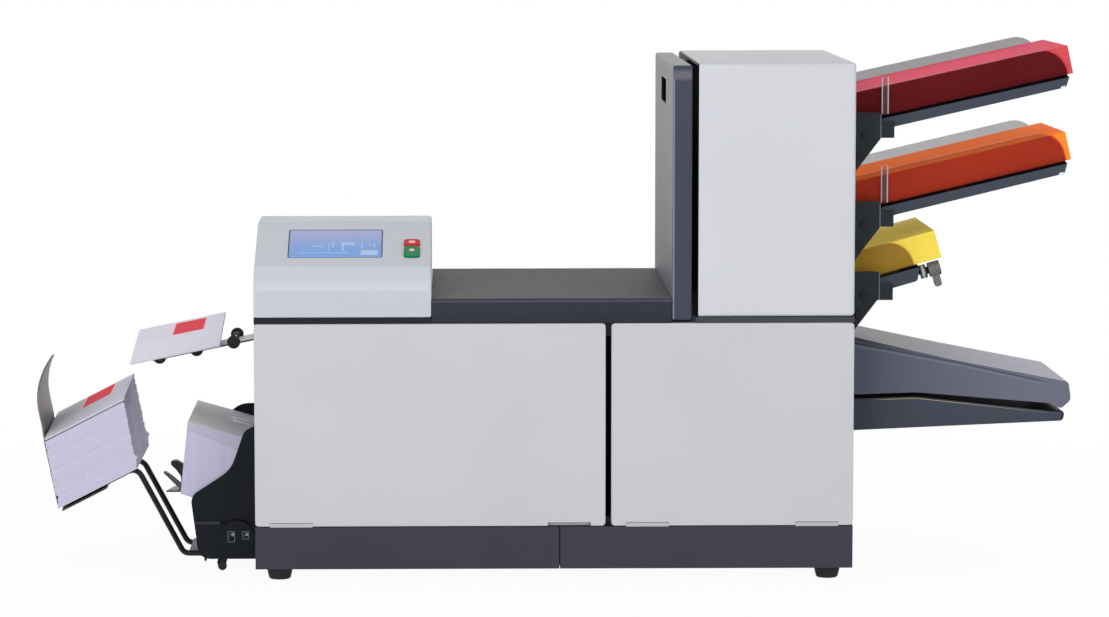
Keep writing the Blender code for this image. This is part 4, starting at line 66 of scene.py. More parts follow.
camera_data = bpy.data.cameras.new("camera")
camera_data.sensor_width = SENSOR_MM
camera_data.lens = FOCAL_PIXELS / PHOTO_WIDTH * SENSOR_MM
camera_data.shift_x = (PHOTO_WIDTH / 2 - MIDDLE_COLUMN) / PHOTO_WIDTH
camera_data.clip_end = CAMERA_RANGE
camera = bpy.data.objects.new("camera", camera_data)
camera.matrix_world = (Matrix.Translation(CAMERA_PLACE) @ Matrix.Rotation(pi / 2 - CAMERA_PITCH, 4, "X")
                       @ Matrix.Rotation(CAMERA_ROLL, 4, "Z"))
bpy.context.scene.collection.objects.link(camera)
bpy.context.scene.camera = camera
bpy.context.scene.view_settings.view_transform = "Standard"


class Wire:
    """A shader socket that takes part in sums. Its node method makes any other node beside it."""

    def __init__(self, tree, socket=None):
        self.tree = tree
        self.socket = socket

    def node(self, kind, settings, values, out=0):
        made = self.tree.nodes.new("ShaderNode" + kind)
        for key, value in settings.items():
            if key == "stops":
                for number, (place, colour) in enumerate(value):
                    ramp = made.color_ramp.elements
                    stop = ramp[number] if number < 2 else ramp.new(place)
                    stop.position = place
                    stop.color = colour
            else:
                setattr(made, key, value)
        for key, value in values.items():
            if isinstance(value, Wire):
                self.tree.links.new(value.socket, made.inputs[key])
            else:
                made.inputs[key].default_value = value
        return Wire(self.tree, made.outputs[out])

    def sum(self, operation, first, second=0.0):
        return self.node("Math", {"operation": operation}, {0: first, 1: second})

    def __add__(self, other):
        return self.sum("ADD", self, other)

    def __sub__(self, other):
        return self.sum("SUBTRACT", self, other)

    def __rsub__(self, other):
        return self.sum("SUBTRACT", other, self)

    def __mul__(self, other):
        return self.sum("MULTIPLY", self, other)

    def __truediv__(self, other):
        return self.sum("DIVIDE", self, other)

    def __gt__(self, other):
        return self.sum("GREATER_THAN", self, other)

    def __lt__(self, other):
        return self.sum("LESS_THAN", self, other)

    __radd__ = __add__
    __rmul__ = __mul__

    def most(self, other):
        return self.sum("MAXIMUM", self, other)

    def least(self, other):
        return self.sum("MINIMUM", self, other)

    def size(self):
        return self.sum("ABSOLUTE", self)

    def length_with(self, other):
        """The long side of a right triangle with these two short sides."""
        return self.sum("SQRT", self * self + other * other)

    def between(self, low, high):
        """1 from low to high, 0 outside."""
        return (self > low) * (self < high)

    def ramp(self, low, high):
        """0 below low, 1 above high, smooth between."""
        settings = {"interpolation_type": "SMOOTHSTEP"}
        return self.node("MapRange", settings, {"Value": self, "From Min": low, "From Max": high})

    def colours(self, first, second):
        """Mix two colours by this wire."""
        return self.node("Mix", {"data_type": "RGBA"}, {0: self, 6: first, 7: second}, 2)

    def part(self, axis):
        return self.node("SeparateXYZ", {}, {0: self}, axis)

    def along(self, direction, start=0.0):
        """Distance along a direction."""
        spot = self.node("VectorMath", {"operation": "DOT_PRODUCT"}, {0: self, 1: tuple(direction)}, 1)
        return spot - start

    def facing(self):
        """The surface's own direction, in the piece's coordinates."""
        return self.node("TexCoord", {}, {}, "Normal")

    def noise(self, scale, detail=2.0, roughness=0.5, stretch=(1, 1, 1)):
        place = self.node("VectorMath", {"operation": "MULTIPLY"}, {0: self, 1: stretch})
        values = {"Vector": place, "Scale": scale, "Detail": detail, "Roughness": roughness}
        return self.node("TexNoise", {}, values)

    def lines(self, scale, detail, roughness=0.5):
        """Noise that changes with this wire alone."""
        values = {"W": self, "Scale": scale, "Detail": detail, "Roughness": roughness}
        return self.node("TexNoise", {"noise_dimensions": "1D"}, values)


def new_finish(name):
    """A Principled material: returns it, its shader and a wire with the piece's own coordinates."""
    paint = bpy.data.materials.new(name)
    paint.use_nodes = True
    tree = paint.node_tree
    place = Wire(tree).node("TexCoord", {}, {}, "Object")
    return paint, tree.nodes["Principled BSDF"], place


def feed(shader, **values):
    """Set or link the shader's sockets; an underscore in a name stands for a space."""
    for key, value in values.items():
        socket = shader.inputs[key.replace("_", " ")]
        if isinstance(value, Wire):
            value.tree.links.new(value.socket, socket)
        else:
            socket.default_value = value


def screen_tone(*levels):
    """A colour given as red, green and blue from 0 to 255, as light levels."""
    shares = [level / 255 for level in levels]
    return (*[share / 12.92 if share <= 0.04045 else ((share + 0.055) / 1.055) ** 2.4 for share in shares], 1)


def shade_of(colour, factor):
    """A colour made lighter or darker."""
    return (*[min(1.0, channel * factor) for channel in colour[:3]], 1)


def rays_that_see(place):
    """1 for rays that reach a surface from the camera, off a mirror or through glass."""
    camera_ray, mirror_ray, glass_ray = [place.node("LightPath", {}, {}, f"Is {kind} Ray")
                                         for kind in ("Camera", "Glossy", "Transmission")]
    return camera_ray.most(mirror_ray).most(glass_ray)


floor_mesh = bpy.data.meshes.new("floor")
floor_half = FLOOR_SIZE / 2
floor_corners = [(x * floor_half, y * floor_half, 0) for x, y in ((-1, -1), (1, -1), (1, 1), (-1, 1))]
floor_mesh.from_pydata(floor_corners, [], [(0, 1, 2, 3)])
floor = bpy.data.objects.new("floor", floor_mesh)
bpy.context.scene.collection.objects.link(floor)
floor_paint, floor_shader, floor_place = new_finish("table_white")
floor_tree = floor_paint.node_tree
feed(floor_shader, Base_Color=FLOOR_COLOUR, Roughness=FLOOR_ROUGHNESS)
fade = floor_place.node("VectorMath", {"operation": "LENGTH"}, {0: floor_place}, 1).ramp(*FLOOR_FADE)
whiten = rays_that_see(floor_place) * (FLOOR_WHITE_SHARE + (1 - FLOOR_WHITE_SHARE) * fade)
glow = floor_place.node("Emission", {}, {"Color": (1, 1, 1, 1), "Strength": 1.0})
lit = Wire(floor_tree, floor_shader.outputs[0])
surface = floor_place.node("MixShader", {}, {0: whiten, 1: lit, 2: glow})
floor_tree.links.new(surface.socket, floor_tree.nodes["Material Output"].inputs["Surface"])
floor_mesh.materials.append(floor_paint)

world = bpy.data.worlds.new("white_room")
world.use_nodes = True
bpy.context.scene.world = world
sky = Wire(world.node_tree)
strength = WORLD_LIGHT + rays_that_see(sky) * (1 - WORLD_LIGHT)
room = sky.node("Background", {}, {"Color": (1, 1, 1, 1), "Strength": strength})
world.node_tree.links.new(room.socket, world.node_tree.nodes["World Output"].inputs["Surface"])

SOFTBOXES = {
    "key": ((-1.8, -3.4, 1.6), 2.6, 58),
    "fill": ((2.4, -3.4, 1.0), 2.4, 36),
    "overhead": ((0.2, 0.4, 3.0), 3.0, 8),
    "back": ((0.5, 3.2, 1.8), 2.2, 14),
}
LAMP_TARGET = Vector((0, 0, 0.35))
for label, (spot, width, watts) in SOFTBOXES.items():
    lamp_data = bpy.data.lights.new("softbox_" + label, "AREA")
    lamp_data.size = width
    lamp_data.energy = watts
    lamp = bpy.data.objects.new("softbox_" + label, lamp_data)
    lamp.location = spot
    lamp.rotation_euler = (LAMP_TARGET - Vector(spot)).to_track_quat("-Z", "Y").to_euler()
    bpy.context.scene.collection.objects.link(lamp)


# Feet and plinth
# Four moulded rubber feet carry a low plinth in two halves of slate-grey grained plastic. The doors hang on
# plated steel leaves that are screwed to the plinth's top edge.
PLINTH_TONE = screen_tone(55, 56, 69)
LEAF_TONE = screen_tone(184, 185, 190)
RUBBER = screen_tone(33, 33, 35)
GRAIN_SCALE = 900
GRAIN_DEPTH = 0.00004
GRAIN_RELIEF = 0.35
ROUGHNESS_SPREAD = 0.12
DARK_GLOSS = 0.28


def moulded(name, colour, roughness, grain=1.0, tone=0.05, scuff=0.0, gloss=0.5, marks=None, flat=False):
    """Grained plastic: a slow drift of tone, a fine grain, faint scuffs and marks drawn over it on request.
    Flat shades each facet by itself."""
    paint, shader, place = new_finish(name)
    drift = place.noise(5, 3)
    speck = place.noise(GRAIN_SCALE, 2, 0.6)
    mix = drift * 0.75 + speck * 0.25
    colour_now = mix.ramp(0.3, 0.7).colours(shade_of(colour, 1 - tone), shade_of(colour, 1 + tone))
    if scuff:
        rub = place.noise(26, 6, 0.7, (1, 1, 6)).ramp(0.60, 0.78) * scuff
        colour_now = rub.colours(colour_now, shade_of(colour, 1.6))
    if marks:
        colour_now = marks(place, colour_now)
    rough = roughness - ROUGHNESS_SPREAD / 2 + place.noise(60, 3) * ROUGHNESS_SPREAD
    height = speck * 0.7 + place.noise(GRAIN_SCALE / 3, 2) * 0.3
    relief = {"Strength": GRAIN_RELIEF * grain, "Distance": GRAIN_DEPTH, "Height": height}
    if flat:
        relief["Normal"] = place.node("NewGeometry", {}, {}, "True Normal")
    bump = place.node("Bump", {}, relief)
    feed(shader, Base_Color=colour_now, Roughness=rough, Normal=bump, Specular_IOR_Level=gloss)
    return paint


def dress(node, finish):
    """Give a CAD node its finish."""
    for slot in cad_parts[node].material_slots:
        slot.material = finish


DOOR_GAP = 0.0010
LEAF_LIFT = 0.0001
plinth_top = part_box("door_left")[0].z - DOOR_GAP


def hinge_leaves(place, colour_now):
    """What stands above the plinth's top edge is plated steel."""
    return (place.part(2) > plinth_top + LEAF_LIFT).colours(colour_now, LEAF_TONE)


plinth_finish = moulded("plinth_moulding", PLINTH_TONE, 0.46, gloss=0.2, marks=hinge_leaves)
for node in ("plinth_left", "plinth_right"):
    dress(node, plinth_finish)
rubber = moulded("rubber", RUBBER, 0.72, grain=1.6, tone=0.15, gloss=DARK_GLOSS)
for node in ("foot_front_left", "foot_front_right", "foot_rear_left", "foot_rear_right"):
    dress(node, rubber)


# Frame plates, rollers, motor and tank inside the cabinet
# Two pressed steel plates carry rubber-covered rollers on steel shafts, a moulded gear with its hand wheel, a
# black motor and the small water tank of the sealer. They show when a door is down.
STEEL = screen_tone(196, 198, 203)
BRUSH_DEPTH = 0.00002
SHAFT_CAP = 0.0040
ROLLER_CORES = {"fold_roller_lower": 0.0056, "fold_roller_upper": 0.0056, "riser_roller": 0.0045,
                "transport_roller": 0.0034}


def brushed(name, colour, roughness, metallic, stretch, marks=None, gloss=0.5):
    """Metal with fine lines along one direction."""
    paint, shader, place = new_finish(name)
    lines = place.noise(420, 3, 0.6, stretch)
    cloud = place.noise(14, 3)
    tone = (lines * 0.6 + cloud * 0.4).ramp(0.3, 0.7)
    colour_now = tone.colours(shade_of(colour, 0.85), shade_of(colour, 1.15))
    if marks:
        colour_now = marks(place, colour_now)
    bump = place.node("Bump", {}, {"Strength": 0.3, "Distance": BRUSH_DEPTH, "Height": lines})
    feed(shader, Base_Color=colour_now, Roughness=roughness - 0.08 + lines * 0.16, Metallic=metallic,
         Specular_IOR_Level=gloss, Normal=bump)
    return paint


def turned_steel(name, node, core_radius, roughness=0.7):
    """Rubber on a bare steel shaft: the shaft is what lies within a radius of the node's own axis. Its front
    end has a black cap."""
    low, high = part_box(node)
    middle = (low + high) / 2
    paint, shader, place = new_finish(name)
    radius = (place.part(0) - middle.x).length_with(place.part(2) - middle.z)
    capped = place.part(1) < low.y + SHAFT_CAP
    shaft = (radius < core_radius) * (1 - capped)
    speck = place.noise(GRAIN_SCALE, 2, 0.6)
    dust = place.noise(40, 4).ramp(0.45, 0.75)
    rubber_now = dust.colours(RUBBER, shade_of(RUBBER, 1.7))
    feed(shader, Base_Color=shaft.colours(rubber_now, STEEL), Metallic=shaft,
         Roughness=roughness - shaft * (roughness - 0.3), Specular_IOR_Level=DARK_GLOSS,
         Normal=place.node("Bump", {}, {"Strength": 0.4, "Distance": GRAIN_DEPTH, "Height": speck}))
    return paint


frame_coat = brushed("frame_coat", screen_tone(46, 48, 52), 0.5, 0.3, (1, 1, 12))
black_coat = brushed("black_coat", screen_tone(16, 16, 19), 0.42, 0.1, (1, 1, 1), gloss=DARK_GLOSS)
for node, finish in (("frame_front", frame_coat), ("frame_rear", frame_coat), ("main_motor", black_coat)):
    dress(node, finish)
for node, core_radius in ROLLER_CORES.items():
    dress(node, turned_steel(node + "_rubber", node, core_radius))
dress("hand_wheel", moulded("gear_moulding", screen_tone(188, 185, 172), 0.5))
dress("sealer_tank", moulded("tank_moulding", screen_tone(200, 212, 218), 0.3))


# White covers: two drop-front doors, the tower and the back
# They are injection-moulded in a pale cool grey with a fine spark-eroded grain. The doors hang on pins at
# their foot, the tower is screwed down from inside and the back cover from outside.
WHITE = screen_tone(198, 199, 204)
SCREW_RADIUS = 0.0036
SCREW_INSET = 0.018
SCREW_SIDES = 16
SCREW_RISE = 0.0002
SCREW_HOLLOW = 0.0005
SCREW_COLUMNS = 4
SHARP_EDGE = radians(30)
WHITE_GLOSS = 0.06
# Painted shade for the tower's side in the seam by the collator door.
SEAM_SHADE_BLACK = screen_tone(10, 12, 16)


def cover_top_shade(place, colour_now):
    """Painted shade: flat tops are painted a shade darker than the fronts."""
    return place.facing().part(2).ramp(0.6, 0.95).colours(colour_now, shade_of(WHITE, 0.94))


def tower_seam_shade(place, colour_now):
    """Painted shade: the tower's side towards the collator door is painted black, as the seam it stands in
    lies in shade.
    """
    return (place.facing().part(0) < -0.5).colours(cover_top_shade(place, colour_now), SEAM_SHADE_BLACK)


white_moulding = moulded("white_moulding", WHITE, 0.5, tone=0.02, gloss=WHITE_GLOSS, marks=cover_top_shade)
for node in ("door_left", "door_right", "rear_cover"):
    dress(node, white_moulding)
dress("tower_cover", moulded("tower_moulding", screen_tone(206, 208, 213), 0.5, tone=0.02, gloss=WHITE_GLOSS,
                             marks=tower_seam_shade))


def new_piece(name, corners, faces, paint, body, soften=0.0, smooth=False):
    """A closed mesh of our own that moves with a body. Its edges are rounded over where soften is given."""
    shape = bmesh.new()
    points = [shape.verts.new(corner) for corner in corners]
    for face in faces:
        shape.faces.new([points[number] for number in face])
    bmesh.ops.recalc_face_normals(shape, faces=shape.faces)
    if soften:
        sharp = [edge for edge in shape.edges if edge.calc_face_angle(0) > SHARP_EDGE]
        bmesh.ops.bevel(shape, geom=sharp, offset=soften, segments=2, affect="EDGES", clamp_overlap=True)
    for face in shape.faces:
        face.smooth = smooth
    mesh = bpy.data.meshes.new(name)
    shape.to_mesh(mesh)
    shape.free()
    mesh.materials.append(paint)
    piece = bpy.data.objects.new(name, mesh)
    bpy.context.scene.collection.objects.link(piece)
    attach(piece, body)
    return piece


def wall_between(low, high, count):
    """Faces between two rings of corners whose first numbers are low and high."""
    turns = [(turn, (turn + 1) % count) for turn in range(count)]
    return [(low + turn, low + after, high + after, high + turn) for turn, after in turns]


def closed_rings(count, rings, first=0):
    """Faces of a row of corner rings: the first and the last ring as ends, and the walls between them."""
    starts = [first + count * ring for ring in range(rings)]
    faces = [tuple(range(start, start + count)) for start in (starts[0], starts[-1])]
    for low, high in zip(starts, starts[1:]):
        faces += wall_between(low, high, count)
    return faces


def lens(name, centre, axis, rim, height, paint, body, sides=SCREW_SIDES, dimple=0.0):
    """A low round head on a surface, with a hollow in its middle on request."""
    axis = Vector(axis).normalized()
    side = axis.orthogonal().normalized()
    other = axis.cross(side)
    rings = [(rim, -height), (rim, height * 0.3), (rim * 0.8, height), (rim * 0.35, height),
             (rim * 0.28, height - dimple)]
    corners = [Vector(centre) + axis * rise + (side * cos(2 * pi * turn / sides)
                                               + other * sin(2 * pi * turn / sides)) * radius
               for radius, rise in rings for turn in range(sides)]
    return new_piece(name, corners, closed_rings(sides, len(rings)), paint, body)


screw_steel = brushed("screw_steel", screen_tone(150, 152, 156), 0.35, 1.0, (1, 1, 1))
back_low, back_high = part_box("rear_cover")
for row, z in enumerate((back_low.z + SCREW_INSET, back_high.z - SCREW_INSET)):
    for column in range(SCREW_COLUMNS):
        run = back_high.x - back_low.x - 2 * SCREW_INSET
        x = back_low.x + SCREW_INSET + run * column / (SCREW_COLUMNS - 1)
        lens(f"back_screw_{row}_{column}", (x, back_high.y, z), (0, 1, 0), SCREW_RADIUS, SCREW_RISE,
             screw_steel, "cabinet", dimple=SCREW_HOLLOW)


# Slate mouldings: deck, low transport lid, collator door and end panel
# The same grained plastic in a dark blue-grey. The deck shows as a dark strip between doors and covers, its
# tone painted darker as shade under the pod, and the lid and the door lift to open the paper path.
SLATE = screen_tone(66, 67, 80)
# Painted shade: the deck's tone is darker than the slate, as the shade under the pod; right of the collator
# door it is painted lighter where lit.
DECK_SHADE_TONE = screen_tone(34, 36, 42)
DECK_RIGHT_LIT_TONE = screen_tone(66, 69, 78)
LID_TONE = screen_tone(56, 58, 69)
# Painted light and shade on the lid: a highlight line along its front edge, a lit top and a front that
# darkens downwards.
LID_EDGE_HIGHLIGHT_TONE = screen_tone(92, 93, 104)
LID_LIT_TOP_TONE = screen_tone(88, 87, 90)
LID_GLOSS = 0.02
LID_HIGHLIGHT_DROP = 0.0042
LID_HIGHLIGHT_HALF = 0.0008
LID_SHADE_FALL = (0.004, 0.040)
COLLATOR_TONE = screen_tone(66, 69, 83)
# Painted light and shade on the collator door: a lit left face that darkens downwards, a lit top, a highlight
# on the bevel and a shaded hand hole.
COLLATOR_LIT_SIDE_TONE = screen_tone(142, 141, 146)
COLLATOR_SHADED_FOOT_TONE = screen_tone(112, 112, 118)
COLLATOR_LIT_TOP_TONE = screen_tone(104, 103, 108)
COLLATOR_BEVEL_HIGHLIGHT_TONE = screen_tone(132, 132, 142)
BEVEL_INSET = (0.0012, 0.0030)
BEVEL_DROP = 0.0200
COLLATOR_SHADE_FALL = (0.05, 0.34)
COLLATOR_SKIN = 0.0008
HOLE_SHADE_BLACK = screen_tone(12, 12, 15)
HOLE_HALF = 0.0555
HOLE_DROP = (0.0255, 0.0605)
collator_low, collator_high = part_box("collator_door")
hole_middle = (collator_low.y + collator_high.y) / 2
lid_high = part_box("transport_lid")[1]


def deck_lit_right(place, colour_now):
    """Painted light and shade: the strip is painted dark as the shade under the pod, and right of the
    collator door, where it catches more light, it is painted lighter.
    """
    return (place.part(0) > collator_high.x).colours(colour_now, DECK_RIGHT_LIT_TONE)


def patch(across, up, low_u, high_u, low_v, high_v):
    """1 on a rectangle of two coordinates."""
    return across.between(low_u, high_u) * up.between(low_v, high_v)


def lid_light_and_shade(place, colour_now):
    """Painted light and shade: the lid's flat top is painted a lighter, streaked grey, as lit from above, and
    its front is painted darker downwards. A thin painted highlight runs along its front edge.
    """
    streak = place.noise(12, 3, 0.6, (0.3, 5, 1)).ramp(0.3, 0.7)
    top = streak.colours(shade_of(LID_LIT_TOP_TONE, 0.92), shade_of(LID_LIT_TOP_TONE, 1.06))
    front = place.facing().part(1) < -0.5
    line = (place.part(2) - (lid_high.z - LID_HIGHLIGHT_DROP)).size() < LID_HIGHLIGHT_HALF
    fall = (lid_high.z - place.part(2)).ramp(*LID_SHADE_FALL) * 0.5
    colour_now = (front * fall).colours(colour_now, shade_of(LID_TONE, 0.6))
    colour_now = (front * line * 0.8).colours(colour_now, LID_EDGE_HIGHLIGHT_TONE)
    return (place.facing().part(2) > 0.7).colours(colour_now, top)


def collator_light_and_shade(place, colour_now):
    """Painted light and shade: the left face is painted a paler grey, as lit from the left, that darkens
    downwards. The front has a painted highlight on its bevel left and above, the top is painted lighter, and
    the hand hole is painted black as the shade inside it.
    """
    facing = place.facing()
    drop = collator_high.z - place.part(2)
    side = drop.ramp(*COLLATOR_SHADE_FALL).colours(COLLATOR_LIT_SIDE_TONE, COLLATOR_SHADED_FOOT_TONE)
    front = facing.part(1) < -0.5
    in_from_left = place.part(0) - collator_low.x
    line = in_from_left.between(*BEVEL_INSET) * (drop > BEVEL_DROP * 0.9)
    crest = drop.ramp(0.004, 0.010) * (1 - drop.ramp(BEVEL_DROP * 0.8, BEVEL_DROP * 1.1)) * 0.45
    colour_now = (front * line.most(crest)).colours(colour_now, COLLATOR_BEVEL_HIGHLIGHT_TONE)
    colour_now = (facing.part(2) > 0.7).colours(colour_now, COLLATOR_LIT_TOP_TONE)
    colour_now = (facing.part(0) < -0.7).colours(colour_now, side)
    hole = patch(place.part(1), drop, hole_middle - HOLE_HALF, hole_middle + HOLE_HALF, *HOLE_DROP)
    return (hole * (in_from_left > COLLATOR_SKIN)).colours(colour_now, HOLE_SHADE_BLACK)


dress("deck", moulded("deck_moulding", DECK_SHADE_TONE, 0.40, gloss=0.1, tone=0.08, marks=deck_lit_right))
dress("transport_lid", moulded("lid_moulding", LID_TONE, 0.55, gloss=LID_GLOSS, tone=0.04, marks=lid_light_and_shade))
dress("collator_door", moulded("collator_moulding", COLLATOR_TONE, 0.48, gloss=0.12, tone=0.04,
                               marks=collator_light_and_shade))
dress("right_end_panel", moulded("end_moulding", SLATE, 0.46, gloss=DARK_GLOSS))
dress("left_end_panel", moulded("inner_end_moulding", screen_tone(40, 42, 47), 0.5, gloss=DARK_GLOSS))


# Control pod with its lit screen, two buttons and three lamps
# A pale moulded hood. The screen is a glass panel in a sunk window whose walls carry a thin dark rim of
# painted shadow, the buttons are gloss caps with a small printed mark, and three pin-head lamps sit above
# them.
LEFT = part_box("control_pod")[0].x
POD_FACE_ORIGIN = Vector((LEFT, -0.186, 0.4278))
FACE_UP = Vector((0, 0.92997, 0.36766))
FACE_OUT = Vector((0, -0.367659, 0.929961))
SCREEN_U = (0.0445, 0.1735)
SCREEN_V = (0.0275, 0.1131)
RIM_WIDTH = 0.0015
RIM_BASE = -0.0030
RIM_TOP = -0.0002
RIM_CORNER = 0.0040
BUTTON_U = (0.2031, 0.2246)
CAP_RED = screen_tone(200, 28, 34)
CAP_GREEN = screen_tone(0, 128, 74)
CAP_MARK = screen_tone(238, 196, 190)
RED_MARK = (0.0693, 0.0052, 0.0042)
GREEN_MARK = (0.0447, 0.0040, 0.0046)
LAMP_TONE = screen_tone(214, 178, 184)
LAMP_RADIUS = 0.0013
LAMP_RISE = 0.0004
LAMP_U = (0.2036, 0.2139, 0.2259)
LAMP_V = 0.0987
SCREEN_LOW = screen_tone(118, 156, 214)
SCREEN_HIGH = screen_tone(158, 166, 207)
SCREEN_MARK = screen_tone(172, 192, 228)
SCREEN_MARKS = ((0.77, 0.95, 0.105, 0.263, 1.0), (0.11, 0.64, 0.165, 0.205, 0.45),
                (0.565, 0.705, 0.447, 0.553, 0.8), (0.565, 0.592, 0.237, 0.553, 0.7),
                (0.467, 0.486, 0.37, 0.58, 0.75), (0.423, 0.440, 0.26, 0.50, 0.5),
                (0.250, 0.375, 0.38, 0.44, 0.45), (0.775, 0.792, 0.35, 0.55, 0.7),
                (0.860, 0.876, 0.40, 0.55, 0.5), (0.900, 0.930, 0.37, 0.50, 0.5))
POD_TONE = screen_tone(202, 206, 213)
# Painted shade on the pod's upright front.
POD_FRONT_SHADE_TONE = screen_tone(195, 198, 206)


def on_face(place):
    """Distance along and up the pod's sloping face."""
    return (place.along((1, 0, 0), POD_FACE_ORIGIN.x),
            place.along(FACE_UP, POD_FACE_ORIGIN.dot(FACE_UP)))


def pod_front_shade(place, colour_now):
    """Painted shade: the upright front below the sloping face is painted a shade darker, with a crisp border.
    """
    return (place.facing().part(1) < -0.97).colours(colour_now, POD_FRONT_SHADE_TONE)


dress("control_pod", moulded("pod_moulding", POD_TONE, 0.5, tone=0.02, gloss=WHITE_GLOSS, marks=pod_front_shade))

screen_glass, screen_shader, screen_place = new_finish("screen_glass")
across, up = on_face(screen_place)
across = (across - SCREEN_U[0]) / (SCREEN_U[1] - SCREEN_U[0])
up = (up - SCREEN_V[0]) / (SCREEN_V[1] - SCREEN_V[0])
veil = screen_place.noise(16, 2) * 0.35
picture = (up + veil).ramp(0.35, 1.15).colours(SCREEN_LOW, SCREEN_HIGH)
for *place_on_screen, weight in SCREEN_MARKS:
    picture = (patch(across, up, *place_on_screen) * weight).colours(picture, SCREEN_MARK)
feed(screen_shader, Base_Color=picture, Emission_Color=picture, Emission_Strength=0.12,
     Roughness=0.16 + screen_place.noise(120, 2) * 0.06, Specular_IOR_Level=0.1)
dress("display_panel", screen_glass)

# Painted shadow: a dark ring on the window's walls stands in for the shadow in the sunk window.
rim_shade = moulded("screen_rim_shade", screen_tone(58, 54, 92), 0.4, gloss=DARK_GLOSS)


def round_corners(low_u, high_u, low_v, high_v, radius, steps=5):
    """A rectangle's outline with round corners."""
    points = []
    for u, v, start in ((high_u - radius, high_v - radius, 0), (low_u + radius, high_v - radius, 1),
                        (low_u + radius, low_v + radius, 2), (high_u - radius, low_v + radius, 3)):
        for step in range(steps + 1):
            turn = (start + step / steps) * pi / 2
            points.append((u + radius * cos(turn), v + radius * sin(turn)))
    return points


outer_rim = round_corners(*SCREEN_U, *SCREEN_V, RIM_CORNER)
inner_rim = round_corners(SCREEN_U[0] + RIM_WIDTH, SCREEN_U[1] - RIM_WIDTH, SCREEN_V[0] + RIM_WIDTH,
                          SCREEN_V[1] - RIM_WIDTH, RIM_CORNER - RIM_WIDTH)
rim_count = len(outer_rim)
rim_corners = [POD_FACE_ORIGIN + Vector((u, 0, 0)) + FACE_UP * v + FACE_OUT * w
               for ring, w in ((outer_rim, RIM_BASE), (outer_rim, RIM_TOP), (inner_rim, RIM_TOP),
                               (inner_rim, RIM_BASE)) for u, v in ring]
rim_faces = [face for ring in range(4)
             for face in wall_between(ring * rim_count, (ring + 1) % 4 * rim_count, rim_count)]
new_piece("screen_rim_shade", rim_corners, rim_faces, rim_shade, "cabinet")


def cap_mark(centre_v, half_u, half_v):
    """A small pale printed oval in the middle of a button."""
    centre_u = sum(BUTTON_U) / 2

    def draw(place, colour_now):
        across, up = on_face(place)
        off_u = (across - centre_u) / half_u
        off_v = (up - centre_v) / half_v
        oval = 1 - (off_u * off_u + off_v * off_v).ramp(0.55, 1.1)
        return (oval * (place.facing().along(FACE_OUT) > 0.8)).colours(colour_now, CAP_MARK)
    return draw


for node, name, tone, mark in (("stop_button", "red_cap", CAP_RED, RED_MARK),
                               ("start_button", "green_cap", CAP_GREEN, GREEN_MARK)):
    dress(node, moulded(name, tone, 0.30, tone=0.04, gloss=0.08, marks=cap_mark(*mark)))
lamp_red = moulded("lamp_lens", LAMP_TONE, 0.2)
for number, u in enumerate(LAMP_U):
    spot = POD_FACE_ORIGIN + Vector((u, 0, 0)) + FACE_UP * LAMP_V
    lens(f"lamp_{number + 1}", spot, FACE_OUT, LAMP_RADIUS, LAMP_RISE, lamp_red, "cabinet", sides=12)


# Paper feeders: trays, smoked side guides, clear posts, stacks and the width knob
# Three moulded trays stand on pressed side brackets. Smoked plastic guides hold coloured stacks of paper, the
# long front ones with a clear post, and the short one is set by a knurled knob on a chromed ring.
FEEDERS = {"top": (0.6158, radians(12.4)), "middle": (0.4935, radians(13.2)),
           "short": (0.3950, radians(15.4))}
LONG_FEEDERS = ("top", "middle")
SIDES = {"front": -1, "rear": 1}
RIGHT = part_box("tower_cover")[1].x
ACROSS = Vector((0, 1, 0))
TRAY_REACH = 0.3070
TRAY_DEPTH = 0.0158
SHEET_LINES = 2600
SHEET_RELIEF = 0.00005
SHEET_GLOSS = 0.25
# Per pile: top, end and flank tones. The flank tone is painted shade for the flanks behind the smoked front
# guide, and the short pile's top is painted darker than its ends as the shade of the feeder above.
PAPER = {
    "top": (screen_tone(234, 76, 104), screen_tone(215, 80, 88), screen_tone(224, 50, 57)),
    "middle": (screen_tone(255, 118, 40), screen_tone(255, 146, 44), screen_tone(240, 74, 42)),
    "short": (screen_tone(204, 178, 76), screen_tone(255, 226, 86), screen_tone(222, 173, 63)),
}
# Painted light: the lower piles' tops give off light, as a share of their tone, against the shade of the
# feeder above.
PAPER_PAINTED_GLOW = {"top": 0.0, "middle": 0.4, "short": 0.5}
SMOKE = {"front": (screen_tone(20, 16, 18), {"top": 0.37, "middle": 0.19, "short": 0.16}),
         "rear": (screen_tone(62, 42, 62), {"top": 0.44, "middle": 0.36, "short": 0.2})}
SMOKE_ROUGHNESS = 0.14
CUT_EDGE_ALPHA = 0.75
CLEAR_GLOSS = 0.05
GUIDE_CORNER = 0.034
GUIDE_PARALLAX = 0.0013
TRAY_TONE = screen_tone(70, 76, 87)
# Painted shade for the bed's edge and the brackets' root, and a painted highlight on the brackets' cut edge.
BED_GAP_SHADE_TONE = screen_tone(4, 4, 6)
BRACKET_TONE = screen_tone(50, 55, 59)
BRACKET_ROOT_SHADE_TONE = screen_tone(14, 14, 16)
BRACKET_CUT_HIGHLIGHT_TONE = screen_tone(120, 126, 130)
BRACKET_ROOT = 0.0095
BRACKET_EDGE = 0.0435
BRACKET_TONGUE = 0.0620
BRACKET_CUT = (BRACKET_EDGE - 0.0011, BRACKET_EDGE + 0.0001)
BRACKET_FACE_Y = 0.1190
TRAY_LINE = -0.0032
BOLT_RADIUS = 0.0064
BOLT_RISE = 0.0014
BOLT_HOLLOW = 0.0008
BOLT_FACE_Y = 0.1235
BRACKET_START = 0.0003
BRACKET_FALL = 0.0860
BOLT_SHARES = ((0.5, 0.30), (0.35, 0.62))
CLIP_TONE = screen_tone(228, 232, 238)
